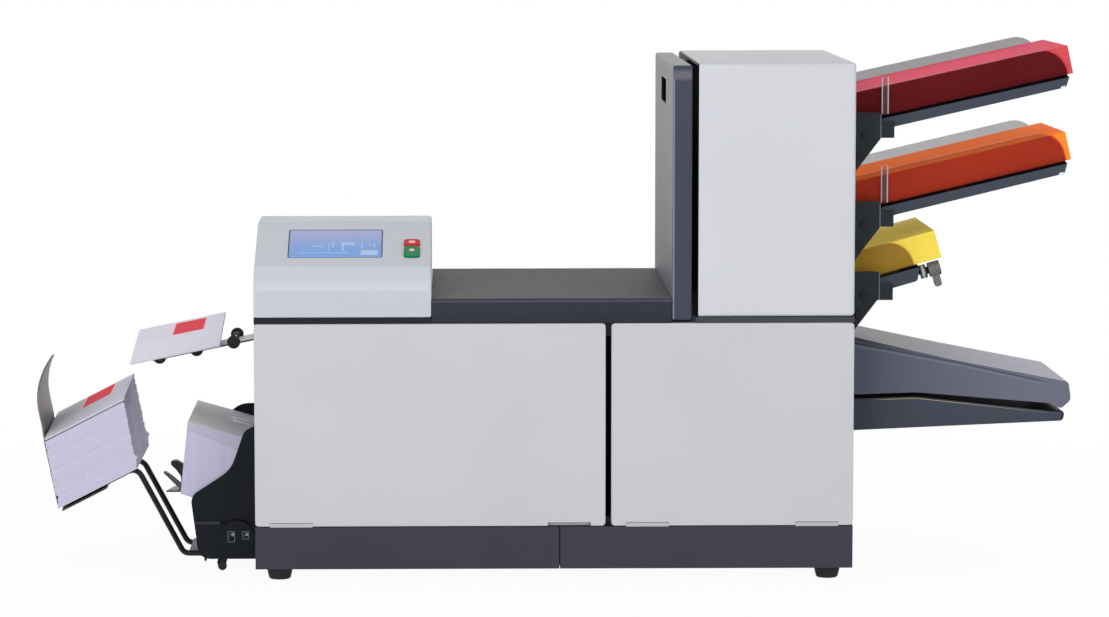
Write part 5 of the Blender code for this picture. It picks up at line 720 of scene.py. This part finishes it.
CLIP_START = TRAY_REACH - 0.0145
CLIP_LENGTH = 0.0065
CLIP_DROP = 0.0012
CLIP_RISE = 0.0024
CLIP_Y = (0.1165, 0.1188)
CLIP_ROUND = 0.0004


def bar_of(name, outline, axes, low, high, paint, body, soften=0.0):
    """An outline of (u, v) points in a frame of origin, u, v and w axes, pushed along w from low to high."""
    origin, along, upward, across = axes
    corners = [origin + along * u + upward * v + across * w for w in (low, high) for u, v in outline]
    return new_piece(name, corners, closed_rings(len(outline), 2), paint, body, soften)


def block(low_u, high_u, low_v, high_v):
    """A rectangle's outline."""
    return [(low_u, low_v), (high_u, low_v), (high_u, high_v), (low_u, high_v)]


def feeder_axes(height, slope):
    """Frame of a feeder's bed: it starts at the tower's face and climbs to the right."""
    return (Vector((RIGHT, 0, height)), Vector((cos(slope), 0, sin(slope))),
            Vector((-sin(slope), 0, cos(slope))), ACROSS)


def sheets(name, top, edge, upward, line_scale=SHEET_LINES, depth=SHEET_RELIEF, marks=None, flank=None,
           streak=0.05, bare=None, glow=0.0):
    """A pile of paper: plain on top, fine lines of sheet edges at its ends, and on the flanks where a guide
    covers them a darker tone, painted as the guide's shade. Glow is painted light: the top gives off light as
    a share of its tone."""
    paint, shader, place = new_finish(name)
    level = place.along(upward)
    mixed = level.lines(line_scale, 3.0, 0.7) * 0.6 + level.lines(line_scale / 9, 2.0) * 0.4
    stripe = mixed.ramp(0.35, 0.65)

    def striped(tone):
        return stripe.colours(shade_of(tone, 1 - streak * 1.6), shade_of(tone, 1 + streak * 0.6))

    on_top = place.facing().along(upward).size().ramp(0.6, 0.9)
    side = striped(edge)
    if flank:
        covered = (place.facing().part(1).size() > 0.7) * (1 - bare(place))
        side = covered.colours(side, striped(flank))
    fibre = place.noise(340, 4, 0.6)
    cloud = place.noise(7, 2).ramp(0.3, 0.7)
    face = (fibre * 0.4 + cloud * 0.6).colours(shade_of(top, 0.95), shade_of(top, 1.04))
    colour_now = on_top.colours(side, face)
    if marks:
        colour_now = marks(place, colour_now)
    height = on_top * fibre + (1 - on_top) * stripe
    feed(shader, Base_Color=colour_now, Roughness=0.78 + fibre * 0.1, Specular_IOR_Level=SHEET_GLOSS,
         Normal=place.node("Bump", {}, {"Strength": 0.5, "Distance": depth, "Height": height}))
    if glow:
        feed(shader, Emission_Color=on_top.colours((0, 0, 0, 1), shade_of(top, glow)), Emission_Strength=1.0)
    return paint


def past_guide(label, axes):
    """1 on the part of a stack's flank that the front guide with its rounded corner leaves bare."""
    origin, along, upward, across = axes
    corners = [corner.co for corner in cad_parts[f"side_guide_{label}_front"].data.vertices]
    corner_u = max(corner.dot(along) for corner in corners) - GUIDE_CORNER + GUIDE_PARALLAX
    corner_v = max(corner.dot(upward) for corner in corners) - GUIDE_CORNER

    def draw(place):
        off_u = place.along(along, corner_u).most(0.0)
        off_v = place.along(upward, corner_v).most(0.0)
        return off_u.length_with(off_v) > GUIDE_CORNER
    return draw


def see_through(name, colour, alpha, roughness, marks=None):
    """Clear or smoked sheet: cut edges look denser than the faces, and handling leaves faint smears."""
    paint, shader, place = new_finish(name)
    rim = 1 - place.facing().part(1).size().ramp(0.5, 0.9)
    smear = place.noise(9, 5, 0.65, (1, 1, 3)).ramp(0.45, 0.75)
    solid = alpha + rim * (CUT_EDGE_ALPHA - alpha) * 0.4 + smear * 0.03
    colour_now = rim.colours(colour, shade_of(colour, 1.3))
    if marks:
        colour_now, solid = marks(place, colour_now, solid)
    feed(shader, Base_Color=colour_now, Alpha=solid, Roughness=roughness + smear * 0.12,
         Specular_IOR_Level=CLEAR_GLOSS)
    return paint


def tray_marks(axes):
    """Painted shade: the bed's edge is painted black, as the gap under the guides lies in shade. The brackets
    are darker than the tray, painted black as shade at the tower and with a painted highlight where they are
    cut."""
    origin, along, upward, across = axes

    def draw(place, colour_now):
        bed = place.along(upward, origin.dot(upward)) > TRAY_LINE
        out = place.part(1).size() > BRACKET_FACE_Y
        reach = place.part(0) - RIGHT
        colour_now = bed.colours(colour_now, BED_GAP_SHADE_TONE)
        colour_now = (out * (reach < BRACKET_TONGUE)).colours(colour_now, BRACKET_TONE)
        colour_now = (out * (reach < BRACKET_ROOT)).colours(colour_now, BRACKET_ROOT_SHADE_TONE)
        return (out * reach.between(*BRACKET_CUT)).colours(colour_now, BRACKET_CUT_HIGHLIGHT_TONE)
    return draw


white_clip = moulded("white_clip", CLIP_TONE, 0.25)
clip_outline = block(CLIP_START, CLIP_START + CLIP_LENGTH, -TRAY_DEPTH - CLIP_DROP, CLIP_RISE - TRAY_DEPTH)
for label, (height, slope) in FEEDERS.items():
    axes = feeder_axes(height, slope)
    top, edge, flank = PAPER[label]
    dress(f"paper_stack_{label}", sheets(f"{label}_paper", top, edge, axes[2], flank=flank,
                                          bare=past_guide(label, axes), glow=PAPER_PAINTED_GLOW[label]))
    dress(f"feeder_tray_{label}", moulded(f"{label}_tray_moulding", TRAY_TONE, 0.44, gloss=0.02, tone=0.06,
                                          marks=tray_marks(axes)))
    for side_name, side in SIDES.items():
        smoke_tone, alphas = SMOKE[side_name]
        dress(f"side_guide_{label}_{side_name}",
              see_through(f"{label}_{side_name}_smoke", smoke_tone, alphas[label], SMOKE_ROUGHNESS))
        for number, (share_x, share_z) in enumerate(BOLT_SHARES):
            spot = (RIGHT + BRACKET_START + (BRACKET_EDGE - 2 * BRACKET_START) * share_x, side * BOLT_FACE_Y,
                    height + BRACKET_EDGE * tan(slope) - BRACKET_FALL * share_z)
            lens(f"{label}_bolt_{side_name}_{number + 1}", spot, (0, side, 0), BOLT_RADIUS, BOLT_RISE,
                 black_coat, "cabinet", dimple=BOLT_HOLLOW)
    if label in LONG_FEEDERS:
        for side_name, side in SIDES.items():
            bar_of(f"{label}_tray_clip_{side_name}", clip_outline, axes, side * CLIP_Y[0], side * CLIP_Y[1],
                   white_clip, "cabinet", CLIP_ROUND)

POST_WIDTH = 0.0095
POST_START = 0.0450
POST_LINE_WIDTHS = (0.0013, 0.0016)
POST_ALPHA = 0.72
POST_TONE = screen_tone(120, 105, 112)
POST_LIGHT = screen_tone(208, 200, 208)


def post_lines(place, colour_now, solid):
    """The post's two upright edges catch the light as white lines."""
    reach = place.part(0) - (RIGHT + POST_START)
    lines = (reach < POST_LINE_WIDTHS[0]).most(reach > POST_WIDTH - POST_LINE_WIDTHS[1])
    return lines.colours(colour_now, POST_LIGHT), lines.most(solid).least(POST_ALPHA)


for label in LONG_FEEDERS:
    dress(f"clear_post_{label}", see_through(f"{label}_clear_post", POST_TONE, 0.22, 0.1, marks=post_lines))

KNOB_AXES = feeder_axes(*FEEDERS["short"])
KNOB_START = 0.1016
KNOB_RING = 0.0090
KNOB_NECK = 0.0035
KNOB_SHINE = 0.0042
KNURL_SCALE = 1400
KNURL_DEPTH = 0.0003


def knob_finish():
    """Chrome ring with a painted highlight band across it, dark neck, then a knurled grey cap."""
    paint, shader, place = new_finish("knob_metal")
    reach = place.along(KNOB_AXES[1], KNOB_AXES[0].dot(KNOB_AXES[1]) + KNOB_START)
    ring = reach < KNOB_RING
    neck = reach.between(KNOB_RING - 0.0002, KNOB_RING + KNOB_NECK)
    knurl = place.noise(KNURL_SCALE, 1, 0.5)
    cap = knurl.ramp(0.35, 0.65).colours(screen_tone(66, 66, 70), screen_tone(140, 139, 144))
    # Painted highlight: a bright band across the ring stands in for the chrome's reflection.
    band = 1 - (reach - KNOB_SHINE).size().ramp(0.0008, 0.0030)
    chrome = band.colours(screen_tone(48, 50, 56), screen_tone(186, 194, 200))
    bump = place.node("Bump", {}, {"Strength": 0.6, "Distance": KNURL_DEPTH, "Height": knurl * (1 - ring)})
    feed(shader, Base_Color=neck.colours(ring.colours(cap, chrome), screen_tone(36, 36, 40)),
         Metallic=0.25 - ring * 0.15, Roughness=0.5 - ring * 0.2, Specular_IOR_Level=0.1, Normal=bump)
    return paint


dress("width_knob", knob_finish())


# Fold-plate shells
# Two long satin shells at the right end: the upper one lifts, and paper runs between them in a slot painted
# black as shade. Their roofs, flanks and tips carry painted light and shade. A fine brass wire lies along the
# lower shell's front edge.
SHELL_TONE = screen_tone(97, 99, 114)
# Painted light and shade tones for the shells' roofs, crease lines, slot and tip.
SHELL_ROOF_LIGHT_TONES = (screen_tone(82, 85, 98), screen_tone(154, 156, 174))
SHELL_TIP_HIGHLIGHT_TONE = screen_tone(122, 124, 140)
CREASE_SHADE_TONE = screen_tone(66, 67, 80)
CREASE_HIGHLIGHT_TONE = screen_tone(128, 129, 146)
SLOT_SHADE_TONE = screen_tone(10, 10, 11)
LOWER_SHELL_TONE = screen_tone(70, 75, 87)
LOWER_TIP_SHADE_TONE = screen_tone(14, 14, 16)
SHELL_GLOSS = 0.04
ORIGIN = Vector((0, 0, 0))
UPRIGHT = (ORIGIN, Vector((1, 0, 0)), Vector((0, 0, 1)), ACROSS)
shell_low, shell_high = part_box("fold_shell_upper")
TIP_CORNER = ((0.0064, 0.2592), (0.0137, 0.2427), (0.0029, 0.2565))
TIP_DEPTH = (0.1094, 0.1119)
ROOF_ROOT = 0.3221
ROOF_KNEE = 0.2884
ROOF_TIP = 0.2585
SHELL_REACH = 0.310
KNEE_SHARE = 0.49
SHELL_ROOT = RIGHT + 0.0003
CREASE_DEPTH = 0.0026
HIGHLIGHT_LINE_DEPTH = 0.0058
SLOT_ROOF = 0.2225
SLOT_HALF = 0.1116
LOWER_FRONT_Y = -0.1119
WIRE_Y = -0.1112
WIRE_SHARE = 0.91
WIRE_RADIUS = 0.0007
WIRE_SINK = 0.0003


def upper_shell_light_and_shade(place, colour_now):
    """Painted light and shade: the roof is painted darker near the tower and lighter towards the tip, a dark
    line of painted shade runs under the roof's edge with a painted highlight line below, and inside the slot
    is painted black as shade.
    """
    facing = place.facing()
    reach = place.part(0) - SHELL_ROOT
    knee = SHELL_REACH * KNEE_SHARE
    near = ROOF_ROOT - reach * ((ROOF_ROOT - ROOF_KNEE) / knee)
    far = ROOF_KNEE - (reach - knee) * ((ROOF_KNEE - ROOF_TIP) / (SHELL_REACH - knee))
    depth = near.least(far) - place.part(2)
    flank = (facing.part(1).size() > 0.5) * (1 - reach.ramp(0.255, 0.285))
    crease = (1 - (depth - CREASE_DEPTH).size().ramp(0.0004, 0.0018)) * flank * 0.7
    bright = (1 - (depth - HIGHLIGHT_LINE_DEPTH).size().ramp(0.0004, 0.0022)) * flank * 0.5
    roof = reach.ramp(0.04, 0.30).colours(*SHELL_ROOF_LIGHT_TONES)
    colour_now = (reach.ramp(0.05, 0.30) * 0.5).colours(colour_now, SHELL_TIP_HIGHLIGHT_TONE)
    colour_now = facing.part(2).ramp(0.55, 0.85).colours(colour_now, roof)
    colour_now = crease.colours(colour_now, CREASE_SHADE_TONE)
    colour_now = bright.colours(colour_now, CREASE_HIGHLIGHT_TONE)
    inside = (facing.part(2) < -0.6) * (place.part(2) > SLOT_ROOF) * (place.part(1).size() < SLOT_HALF)
    return inside.colours(colour_now, SLOT_SHADE_TONE)


def lower_shell_shade(place, colour_now):
    """Painted shade: black inside the slot and round the tip."""
    facing = place.facing()
    inside = facing.part(2) > 0.6
    tip = facing.part(0) > 0.3
    return inside.most(tip * 0.7).colours(colour_now, LOWER_TIP_SHADE_TONE)


upper_satin = moulded("upper_shell_satin", SHELL_TONE, 0.34, gloss=SHELL_GLOSS, tone=0.03,
                      marks=upper_shell_light_and_shade, flat=True)
dress("fold_shell_upper", upper_satin)
# Two small webs fill the nicks where the roof's bevels end at the tip.
for side_name, side in SIDES.items():
    bar_of(f"shell_tip_{side_name}", [(shell_high.x - reach, z) for reach, z in TIP_CORNER], UPRIGHT,
           *sorted(side * y for y in TIP_DEPTH), upper_satin, "fold_shell_upper")
dress("fold_shell_lower", moulded("lower_shell_satin", LOWER_SHELL_TONE, 0.36, gloss=SHELL_GLOSS, tone=0.03,
                                  marks=lower_shell_shade))


def wire_along(name, line, radius, paint, body, sides=8):
    """A round wire through a row of points, closed at both ends."""
    corners = []
    last = len(line) - 1
    for number, point in enumerate(line):
        heading = (line[min(number + 1, last)] - line[max(number - 1, 0)]).normalized()
        side = heading.cross(Vector((0.02, 1, 0.01))).normalized()
        other = heading.cross(side)
        corners += [point + (side * cos(2 * pi * turn / sides) + other * sin(2 * pi * turn / sides)) * radius
                    for turn in range(sides)]
    return new_piece(name, corners, closed_rings(sides, len(line)), paint, body, smooth=True)


crest = {}
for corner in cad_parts["fold_shell_lower"].data.vertices:
    if corner.co.y < LOWER_FRONT_Y:
        step = round(corner.co.x, 4)
        crest[step] = max(corner.co.z, crest.get(step, 0.0))
wire_end = shell_low.x + SHELL_REACH * WIRE_SHARE
crest_line = [Vector((x, WIRE_Y, crest[x] + WIRE_SINK)) for x in sorted(crest) if x < wire_end]
brass = brushed("brass_wire", screen_tone(176, 156, 118), 0.3, 0.8, (1, 1, 1))
wire_along("slot_wire", crest_line, WIRE_RADIUS, brass, "cabinet")


# Envelope hopper: cheeks, bed, lever, feed fingers, waiting envelopes and hold-down strip
# Glass-filled plastic in satin blue-black. The cheeks slide apart, a thumb lever hangs below the front one,
# and two fingers and a grey tongue part the lowest envelope.
DARK = screen_tone(22, 26, 31)
SATIN_GLOSS = 0.10
BOSS_SPOT = (LEFT - 0.0290, 0.0464)
BOSS_RIM = (0.0240, 0.0258)
BOSS_SHADE_RISE = 0.010
BOSS_SHADE_TONE = screen_tone(6, 6, 8)
PAD_RADIUS = 0.0062
PAD_RISE = 0.0014
CHEEK_MARK = screen_tone(158, 164, 168)
ENVELOPE_SIDE = screen_tone(198, 196, 219)
# Painted light: the envelopes' face tone is raised to make up for the shade of the pod on them.
ENVELOPE_LIT_TOP = screen_tone(232, 232, 234)
ENVELOPE_RELIEF = 0.00003
LEDGE_HIGHLIGHT_TONE = screen_tone(62, 65, 68)
LEDGE_OUTER_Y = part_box("hopper_cheek_front")[0].y + 0.0062
LEDGE_INNER_Y = -0.1262
LEDGE_FOOT = 0.0660
LEDGE_LIPS = (0.0668, 0.0690)
LEDGE_X = (LEFT - 0.0868, LEFT - 0.0527)
ICONS = ((-0.4483, -0.4384, 0.0408, 0.0562), (-0.4282, -0.4191, 0.0449, 0.0561))
ICON_LINE = 0.0009
ICON_CORNER_X = 0.0046
ICON_CORNER_Z = (0.0066, 0.0024)
SLASH_SPOT = (0.0028, 0.0062)
SLASH_LEAN = 0.6
SLASH_HALF = 0.0005
SLASH_INSET_X = (0.002, 0.005)
SLASH_INSET_Z = 0.003
dark_moulding = moulded("dark_moulding", DARK, 0.40, tone=0.10, scuff=0.03, gloss=SATIN_GLOSS)
for node in ("hopper_base", "hopper_cheek_rear", "hopper_lever"):
    dress(node, dark_moulding)


def cheek_marks(place, colour_now):
    """A dark shadow lies over the round boss. Two small outlined size marks with a pale corner and a slash
    are printed on the front face."""
    across, up = place.part(0), place.part(2)
    front = place.facing().part(1) < -0.8
    off_x, off_z = across - BOSS_SPOT[0], up - BOSS_SPOT[1]
    crescent = off_x.length_with(off_z).between(*BOSS_RIM) * (off_z > BOSS_SHADE_RISE) * front
    colour_now = crescent.colours(colour_now, BOSS_SHADE_TONE)
    for low_x, high_x, low_z, high_z in ICONS:
        outer = patch(across, up, low_x, high_x, low_z, high_z)
        inner = patch(across, up, low_x + ICON_LINE, high_x - ICON_LINE, low_z + ICON_LINE,
                      high_z - ICON_LINE)
        corner = patch(across, up, high_x - ICON_CORNER_X, high_x - ICON_LINE,
                       *[high_z - inset for inset in ICON_CORNER_Z])
        from_slash = (across - low_x - SLASH_SPOT[0]) + (up - high_z + SLASH_SPOT[1]) * -SLASH_LEAN
        slash = (from_slash.size() < SLASH_HALF) * patch(
            across, up, low_x + SLASH_INSET_X[0], high_x - SLASH_INSET_X[1], low_z + SLASH_INSET_Z,
            high_z - SLASH_INSET_Z)
        print_share = ((outer - inner) * 0.45).most(corner * 0.85).most(slash * 0.4)
        colour_now = (print_share * front).colours(colour_now, CHEEK_MARK)
    return colour_now


dress("hopper_cheek_front", moulded("front_cheek_moulding", DARK, 0.38, tone=0.08, scuff=0.03,
                                    gloss=SATIN_GLOSS, marks=cheek_marks))

lever_low, lever_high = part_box("hopper_lever")
pad_spot = ((lever_low.x + lever_high.x) / 2, lever_low.y, lever_low.z + PAD_RADIUS)
lens("lever_pad", pad_spot, (0, -1, 0), PAD_RADIUS, PAD_RISE, rubber, "hopper_lever")

# Painted highlight: the ledge's chamfer is a lighter strip, standing in for the light it catches from above.
ledge_highlight = moulded("chamfer_highlight_moulding", LEDGE_HIGHLIGHT_TONE, 0.3, gloss=DARK_GLOSS)
ledge_outline = [(LEDGE_OUTER_Y, LEDGE_FOOT), (LEDGE_INNER_Y, LEDGE_FOOT), (LEDGE_INNER_Y, LEDGE_LIPS[0]),
                 (LEDGE_OUTER_Y, LEDGE_LIPS[1])]
bar_of("cheek_ledge_bevel", ledge_outline, (ORIGIN, ACROSS, Vector((0, 0, 1)), Vector((1, 0, 0))), *LEDGE_X,
       ledge_highlight, "hopper_cheek_front")

TONGUE_TOP = 0.0963
TONGUE_TONE = screen_tone(150, 152, 156)
BLADE_TONE = screen_tone(96, 98, 102)


def finger_marks(place, colour_now):
    """The paddle stays black, the blade has a grey back and the tongue a light top."""
    facing = place.facing()
    tongue = place.part(2) < TONGUE_TOP
    colour_now = (tongue * (facing.part(2) > 0.7)).colours(colour_now, TONGUE_TONE)
    blade = (place.part(1) < 0) * (1 - tongue)
    return (blade * (facing.part(1) < -0.7) * 0.75).colours(colour_now, BLADE_TONE)


dress("feed_fingers", moulded("finger_moulding", DARK, 0.36, gloss=DARK_GLOSS, marks=finger_marks))

WAITING_CORNER = (-0.5025, 0.2070)
WAITING_FALL = radians(15.9)
FLAP_START = 0.0105
FLAP_LEAN = 0.13


def waiting_marks(place, colour_now):
    """A paler band lies under the front top edge, and the flap's shadow slopes below it. The top is painted
    in light tones, white at the left end and a little greyer towards the pod, as painted light against the
    shade on it.
    """
    facing = place.facing()
    front = facing.part(1) < -0.7
    run = place.part(0) - WAITING_CORNER[0]
    drop = WAITING_CORNER[1] - run * tan(WAITING_FALL) - place.part(2)
    past_flap = drop - (FLAP_START + run * FLAP_LEAN)
    band = (1 - past_flap.ramp(-0.0006, 0.0006)) * front
    line = (1 - past_flap.size().ramp(0.0003, 0.0016)) * front
    colour_now = (band * 0.7).colours(colour_now, screen_tone(184, 182, 202))
    colour_now = (line * 0.35).colours(colour_now, screen_tone(150, 147, 178))
    lower = drop.ramp(0.02, 0.10) * front * 0.25
    colour_now = lower.colours(colour_now, screen_tone(178, 174, 206))
    top = run.ramp(0.0, 0.09).colours(screen_tone(255, 255, 255), screen_tone(228, 229, 236))
    return (facing.part(2) > 0.6).colours(colour_now, top)


dress("hopper_envelopes", sheets("waiting_envelopes", ENVELOPE_LIT_TOP, ENVELOPE_SIDE, Vector((1, 0, 0)), 900,
                                 ENVELOPE_RELIEF, waiting_marks))

STRIP_TONE = screen_tone(206, 207, 213)
STRIP_GLEAM = screen_tone(246, 247, 250)


def strip_marks(place, colour_now, solid):
    """The clear strip shows only its soft, streaked highlights."""
    gleam = place.noise(30, 3, 0.6, (0.4, 3, 1)).ramp(0.42, 0.62)
    return gleam.colours(colour_now, STRIP_GLEAM), 0.30 + gleam * 0.42


dress("hold_down_strip", see_through("frosted_strip", STRIP_TONE, 0.4, 0.3, marks=strip_marks))


# Exit deck, its wheel shafts and the envelope on its way out
# A thin grey plate carries three steel shafts with rubber wheels. The filled envelope rides on them, its near
# side a little lower than its far side, and a red square is printed on it.
EXIT_TOP_TONE = screen_tone(176, 177, 180)
# Painted shade for all but the exit sheet's upper face.
EXIT_EDGE_SHADE_TONE = screen_tone(52, 53, 57)
EXIT_CORE = 0.0024
EXIT_RUBBER_ROUGHNESS = 0.62
LABEL_RED = screen_tone(238, 70, 84)
LABEL_RIM = screen_tone(252, 216, 216)
LABEL_RIM_WIDTH = 0.0022
EXIT_LABEL = (-0.5315, -0.4885, 0.0210, 0.1010)


def exit_edge_shade(place, colour_now):
    """Painted shade: all but the sheet's upper face is painted dark."""
    return (place.facing().part(2) < 0.5).colours(colour_now, EXIT_EDGE_SHADE_TONE)


dress("exit_deck", brushed("exit_sheet", EXIT_TOP_TONE, 0.42, 0.25, (1, 12, 1), marks=exit_edge_shade))
for number in (1, 2, 3):
    shaft = f"exit_wheels_{number}"
    dress(shaft, turned_steel(f"exit_rubber_{number}", shaft, EXIT_CORE, EXIT_RUBBER_ROUGHNESS))


def printed_square(low_x, high_x, low_y, high_y, upward):
    """A red square with a thin pale rim, on the faces that look up."""
    def draw(place, colour_now):
        top = place.facing().along(upward) > 0.5
        across, deep = place.part(0), place.part(1)
        wide = patch(across, deep, low_x - LABEL_RIM_WIDTH, high_x + LABEL_RIM_WIDTH, low_y - LABEL_RIM_WIDTH,
                     high_y + LABEL_RIM_WIDTH)
        inner = patch(across, deep, low_x, high_x, low_y, high_y)
        colour_now = (wide * top).colours(colour_now, LABEL_RIM)
        return (inner * top).colours(colour_now, LABEL_RED)
    return draw


EXIT_UP = Vector((-0.1994, 0, 0.9799))
EXIT_ALONG = Vector((-0.9799, 0, -0.1994))
EXIT_DROOP = 0.0042
EXIT_THICKNESS = 0.0024
EXIT_BOW = 0.0006
EXIT_STEPS = 8
EXIT_ROUND = 0.0005
exit_paper = sheets("exit_paper", screen_tone(238, 234, 248), screen_tone(206, 203, 216), EXIT_UP, 1500,
                    ENVELOPE_RELIEF, printed_square(*EXIT_LABEL, EXIT_UP))
sheet_points = [corner.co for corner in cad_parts["exit_envelope"].data.vertices]
start_u = min(point.dot(EXIT_ALONG) for point in sheet_points)
end_u = max(point.dot(EXIT_ALONG) for point in sheet_points)
near_y = min(point.y for point in sheet_points)
far_y = max(point.y for point in sheet_points)
near_top = max(point.dot(EXIT_UP) for point in sheet_points if point.y < near_y + 0.001) - EXIT_DROOP
far_top = max(point.dot(EXIT_UP) for point in sheet_points if point.y > far_y - 0.001)
sheet_outline = []
for step in range(EXIT_STEPS + 1):
    share = step / EXIT_STEPS
    bow = EXIT_BOW * 4 * share * (1 - share)
    sheet_outline.append((near_y + (far_y - near_y) * share, near_top + (far_top - near_top) * share + bow))
sheet_outline += [(y, top - EXIT_THICKNESS) for y, top in reversed(sheet_outline)]
leaving = bar_of("leaving_envelope", sheet_outline, (ORIGIN, ACROSS, EXIT_UP, EXIT_ALONG), start_u, end_u,
                 exit_paper, "cabinet", EXIT_ROUND)
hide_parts("exit_envelope")


# Finished-envelope tray: rods, stop plate and the pile on them
# Two black-dipped rods bend up from under the hopper and carry the pile against a curved stop of brushed
# sheet. Each filled envelope is a little crooked, so the pile's edges are uneven.
SHIFT = -(LEFT + RIGHT) / 2
DONE_ORIGIN = Vector((-0.579 + SHIFT, 0, 0.134))
DONE_SLOPE = radians(27)
DONE_ALONG = Vector((-cos(DONE_SLOPE), 0, -sin(DONE_SLOPE)))
DONE_UP = Vector((-sin(DONE_SLOPE), 0, cos(DONE_SLOPE)))
PILE_BASE = 0.0044
PILE_HEIGHT = 0.0953
PILE_LENGTH = 0.1236
PILE_HEAD = 0.0088
PILE_LEAN = 0.0280
PILE_HALF = 0.1143
PILE_COUNT = 46
PILE_SEED = 7
PILE_PINCH = 0.0002
PILE_ROUND_SHARE = 0.3
ENVELOPE_SHARE = 0.985
START_SPREAD = (0.0, 0.0016)
END_SPREAD = (0.0004, 0.0016)
FRONT_SPREAD = (0.0, 0.0004)
REAR_SPREAD = (0.0, 0.0026)
TOP_OVERHANG = 0.0006
PILE_REAR_RISE = 0.075
PILE_SHADOW = 0.0011
PILE_BULGE = 0.0035
PILE_BULGE_AT = 6
PILE_BULGE_REACH = 4
TOP_LABEL = (-0.6600, -0.6200, 0.0120, 0.1080)
# Painted shade tones for the pile's ends, its top by the stop plate and the gap under the top envelope.
PILE_NEAR_SHADE_TONE = screen_tone(190, 188, 214)
PILE_FAR_TONE = screen_tone(216, 214, 234)
PILE_CROWN_SHADE_TONE = screen_tone(170, 168, 194)
PILE_TOP_TONE = screen_tone(218, 216, 228)
PILE_TOP_SHADOW_TONE = screen_tone(186, 186, 190)
PILE_GAP_SHADE_TONE = screen_tone(40, 38, 52)
PILE_GAP_DROP = 0.0008
STOP_TONE = screen_tone(112, 109, 115)
dress("stacker_rods", black_coat)


def stop_marks(place, colour_now):
    """The sheet darkens towards its tip and along its foot."""
    height = place.part(2)
    tip = height.ramp(0.20, 0.30)
    streak = place.noise(90, 3, 0.6, (1, 1, 0.12)).ramp(0.35, 0.65)
    colour_now = (streak * 0.5).colours(colour_now, screen_tone(84, 82, 88))
    colour_now = (tip * 0.8).colours(colour_now, screen_tone(74, 74, 80))
    return (1 - height.ramp(0.095, 0.16)).colours(colour_now, screen_tone(66, 66, 76))


dress("stop_plate", brushed("stop_sheet", STOP_TONE, 0.44, 0.35, (1, 1, 14), marks=stop_marks))


def pile_marks(place, colour_now):
    """The ends near the machine carry painted shade, darker towards the front and under the crown, where the
    flaps close. The top envelope is printed, its top is painted darker towards the stop plate as the plate's
    shadow, and a dark line of painted shade runs in the gap under its front edge."""
    facing = place.facing()
    level = place.along(DONE_UP, DONE_ORIGIN.dot(DONE_UP))
    near_end = facing.along(DONE_ALONG) < -0.5
    wobble = place.noise(38, 3, 0.6, (0.3, 1, 0.5)) * 0.05
    far = (place.part(1) + wobble).ramp(-0.055, -0.005)
    end_tone = far.colours(PILE_NEAR_SHADE_TONE, PILE_FAR_TONE)
    crown = level.ramp(PILE_HEIGHT * 0.78, PILE_HEIGHT * 0.98) * (1 - place.part(1).ramp(-0.06, 0.05))
    end_tone = (crown * 0.8).colours(end_tone, PILE_CROWN_SHADE_TONE)
    colour_now = (near_end * 0.85).colours(colour_now, end_tone)
    fade = place.along(DONE_ALONG, DONE_ORIGIN.dot(DONE_ALONG)).ramp(-0.03, 0.085)
    on_top = facing.along(DONE_UP) > 0.7
    colour_now = (fade * on_top * 0.8).colours(colour_now, PILE_TOP_SHADOW_TONE)
    gap_level = PILE_BASE + PILE_HEIGHT * (PILE_COUNT - 1) / PILE_COUNT - PILE_GAP_DROP
    gap = level.between(gap_level - PILE_SHADOW, gap_level + PILE_SHADOW / 4) * (facing.part(1) < -0.4)
    colour_now = (gap * 0.9).colours(colour_now, PILE_GAP_SHADE_TONE)
    return printed_square(*TOP_LABEL, DONE_UP)(place, colour_now)


pile_paper = sheets("finished_paper", PILE_TOP_TONE, screen_tone(200, 198, 218), DONE_UP, 1300,
                    ENVELOPE_RELIEF, pile_marks, streak=0.04)
random.seed(PILE_SEED)
pile_corners, pile_faces = [], []
pitch = PILE_HEIGHT / PILE_COUNT
for number in range(PILE_COUNT):
    share = number / (PILE_COUNT - 1)
    topmost = number == PILE_COUNT - 1
    bulge = PILE_BULGE * max(0, 1 - abs(number - PILE_BULGE_AT) / PILE_BULGE_REACH)
    start = -PILE_HEAD - PILE_LEAN * share - bulge + random.uniform(*START_SPREAD)
    end = start + PILE_LENGTH - random.uniform(*END_SPREAD)
    if topmost:
        start, end = -PILE_HEAD - PILE_LEAN - TOP_OVERHANG, -PILE_HEAD - PILE_LEAN + PILE_LENGTH
    front = -PILE_HALF + random.uniform(*FRONT_SPREAD) * (0 if topmost else 1)
    rear = PILE_HALF - random.uniform(*REAR_SPREAD)
    low = PILE_BASE + pitch * number
    high = low + pitch * ENVELOPE_SHARE
    round_over = pitch * PILE_ROUND_SHARE
    rings = ((low, PILE_PINCH), (low + round_over, 0), (high - round_over, 0), (high, PILE_PINCH))
    pile_faces += closed_rings(4, len(rings), len(pile_corners))
    for level, inset in rings:
        for u, y in block(start + inset, end - inset, front + inset, rear - inset):
            rise = 1 + PILE_REAR_RISE * (y + PILE_HALF) / (2 * PILE_HALF)
            pile_corners.append(DONE_ORIGIN + DONE_ALONG * u + DONE_UP * level * rise + ACROSS * y)
pile = new_piece("envelope_pile", pile_corners, pile_faces, pile_paper, "cabinet")
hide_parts("finished_envelopes")

STUD_X = (LEFT - 0.0787, LEFT - 0.0753)
STUD_Y = (-0.0616, -0.0584)
STUD_Z = (0.0032, 0.0092)
STUD_ROUND = 0.0003
bar_of("rod_stud", block(*STUD_X, *STUD_Z), UPRIGHT, *STUD_Y, black_coat, "cabinet", STUD_ROUND)
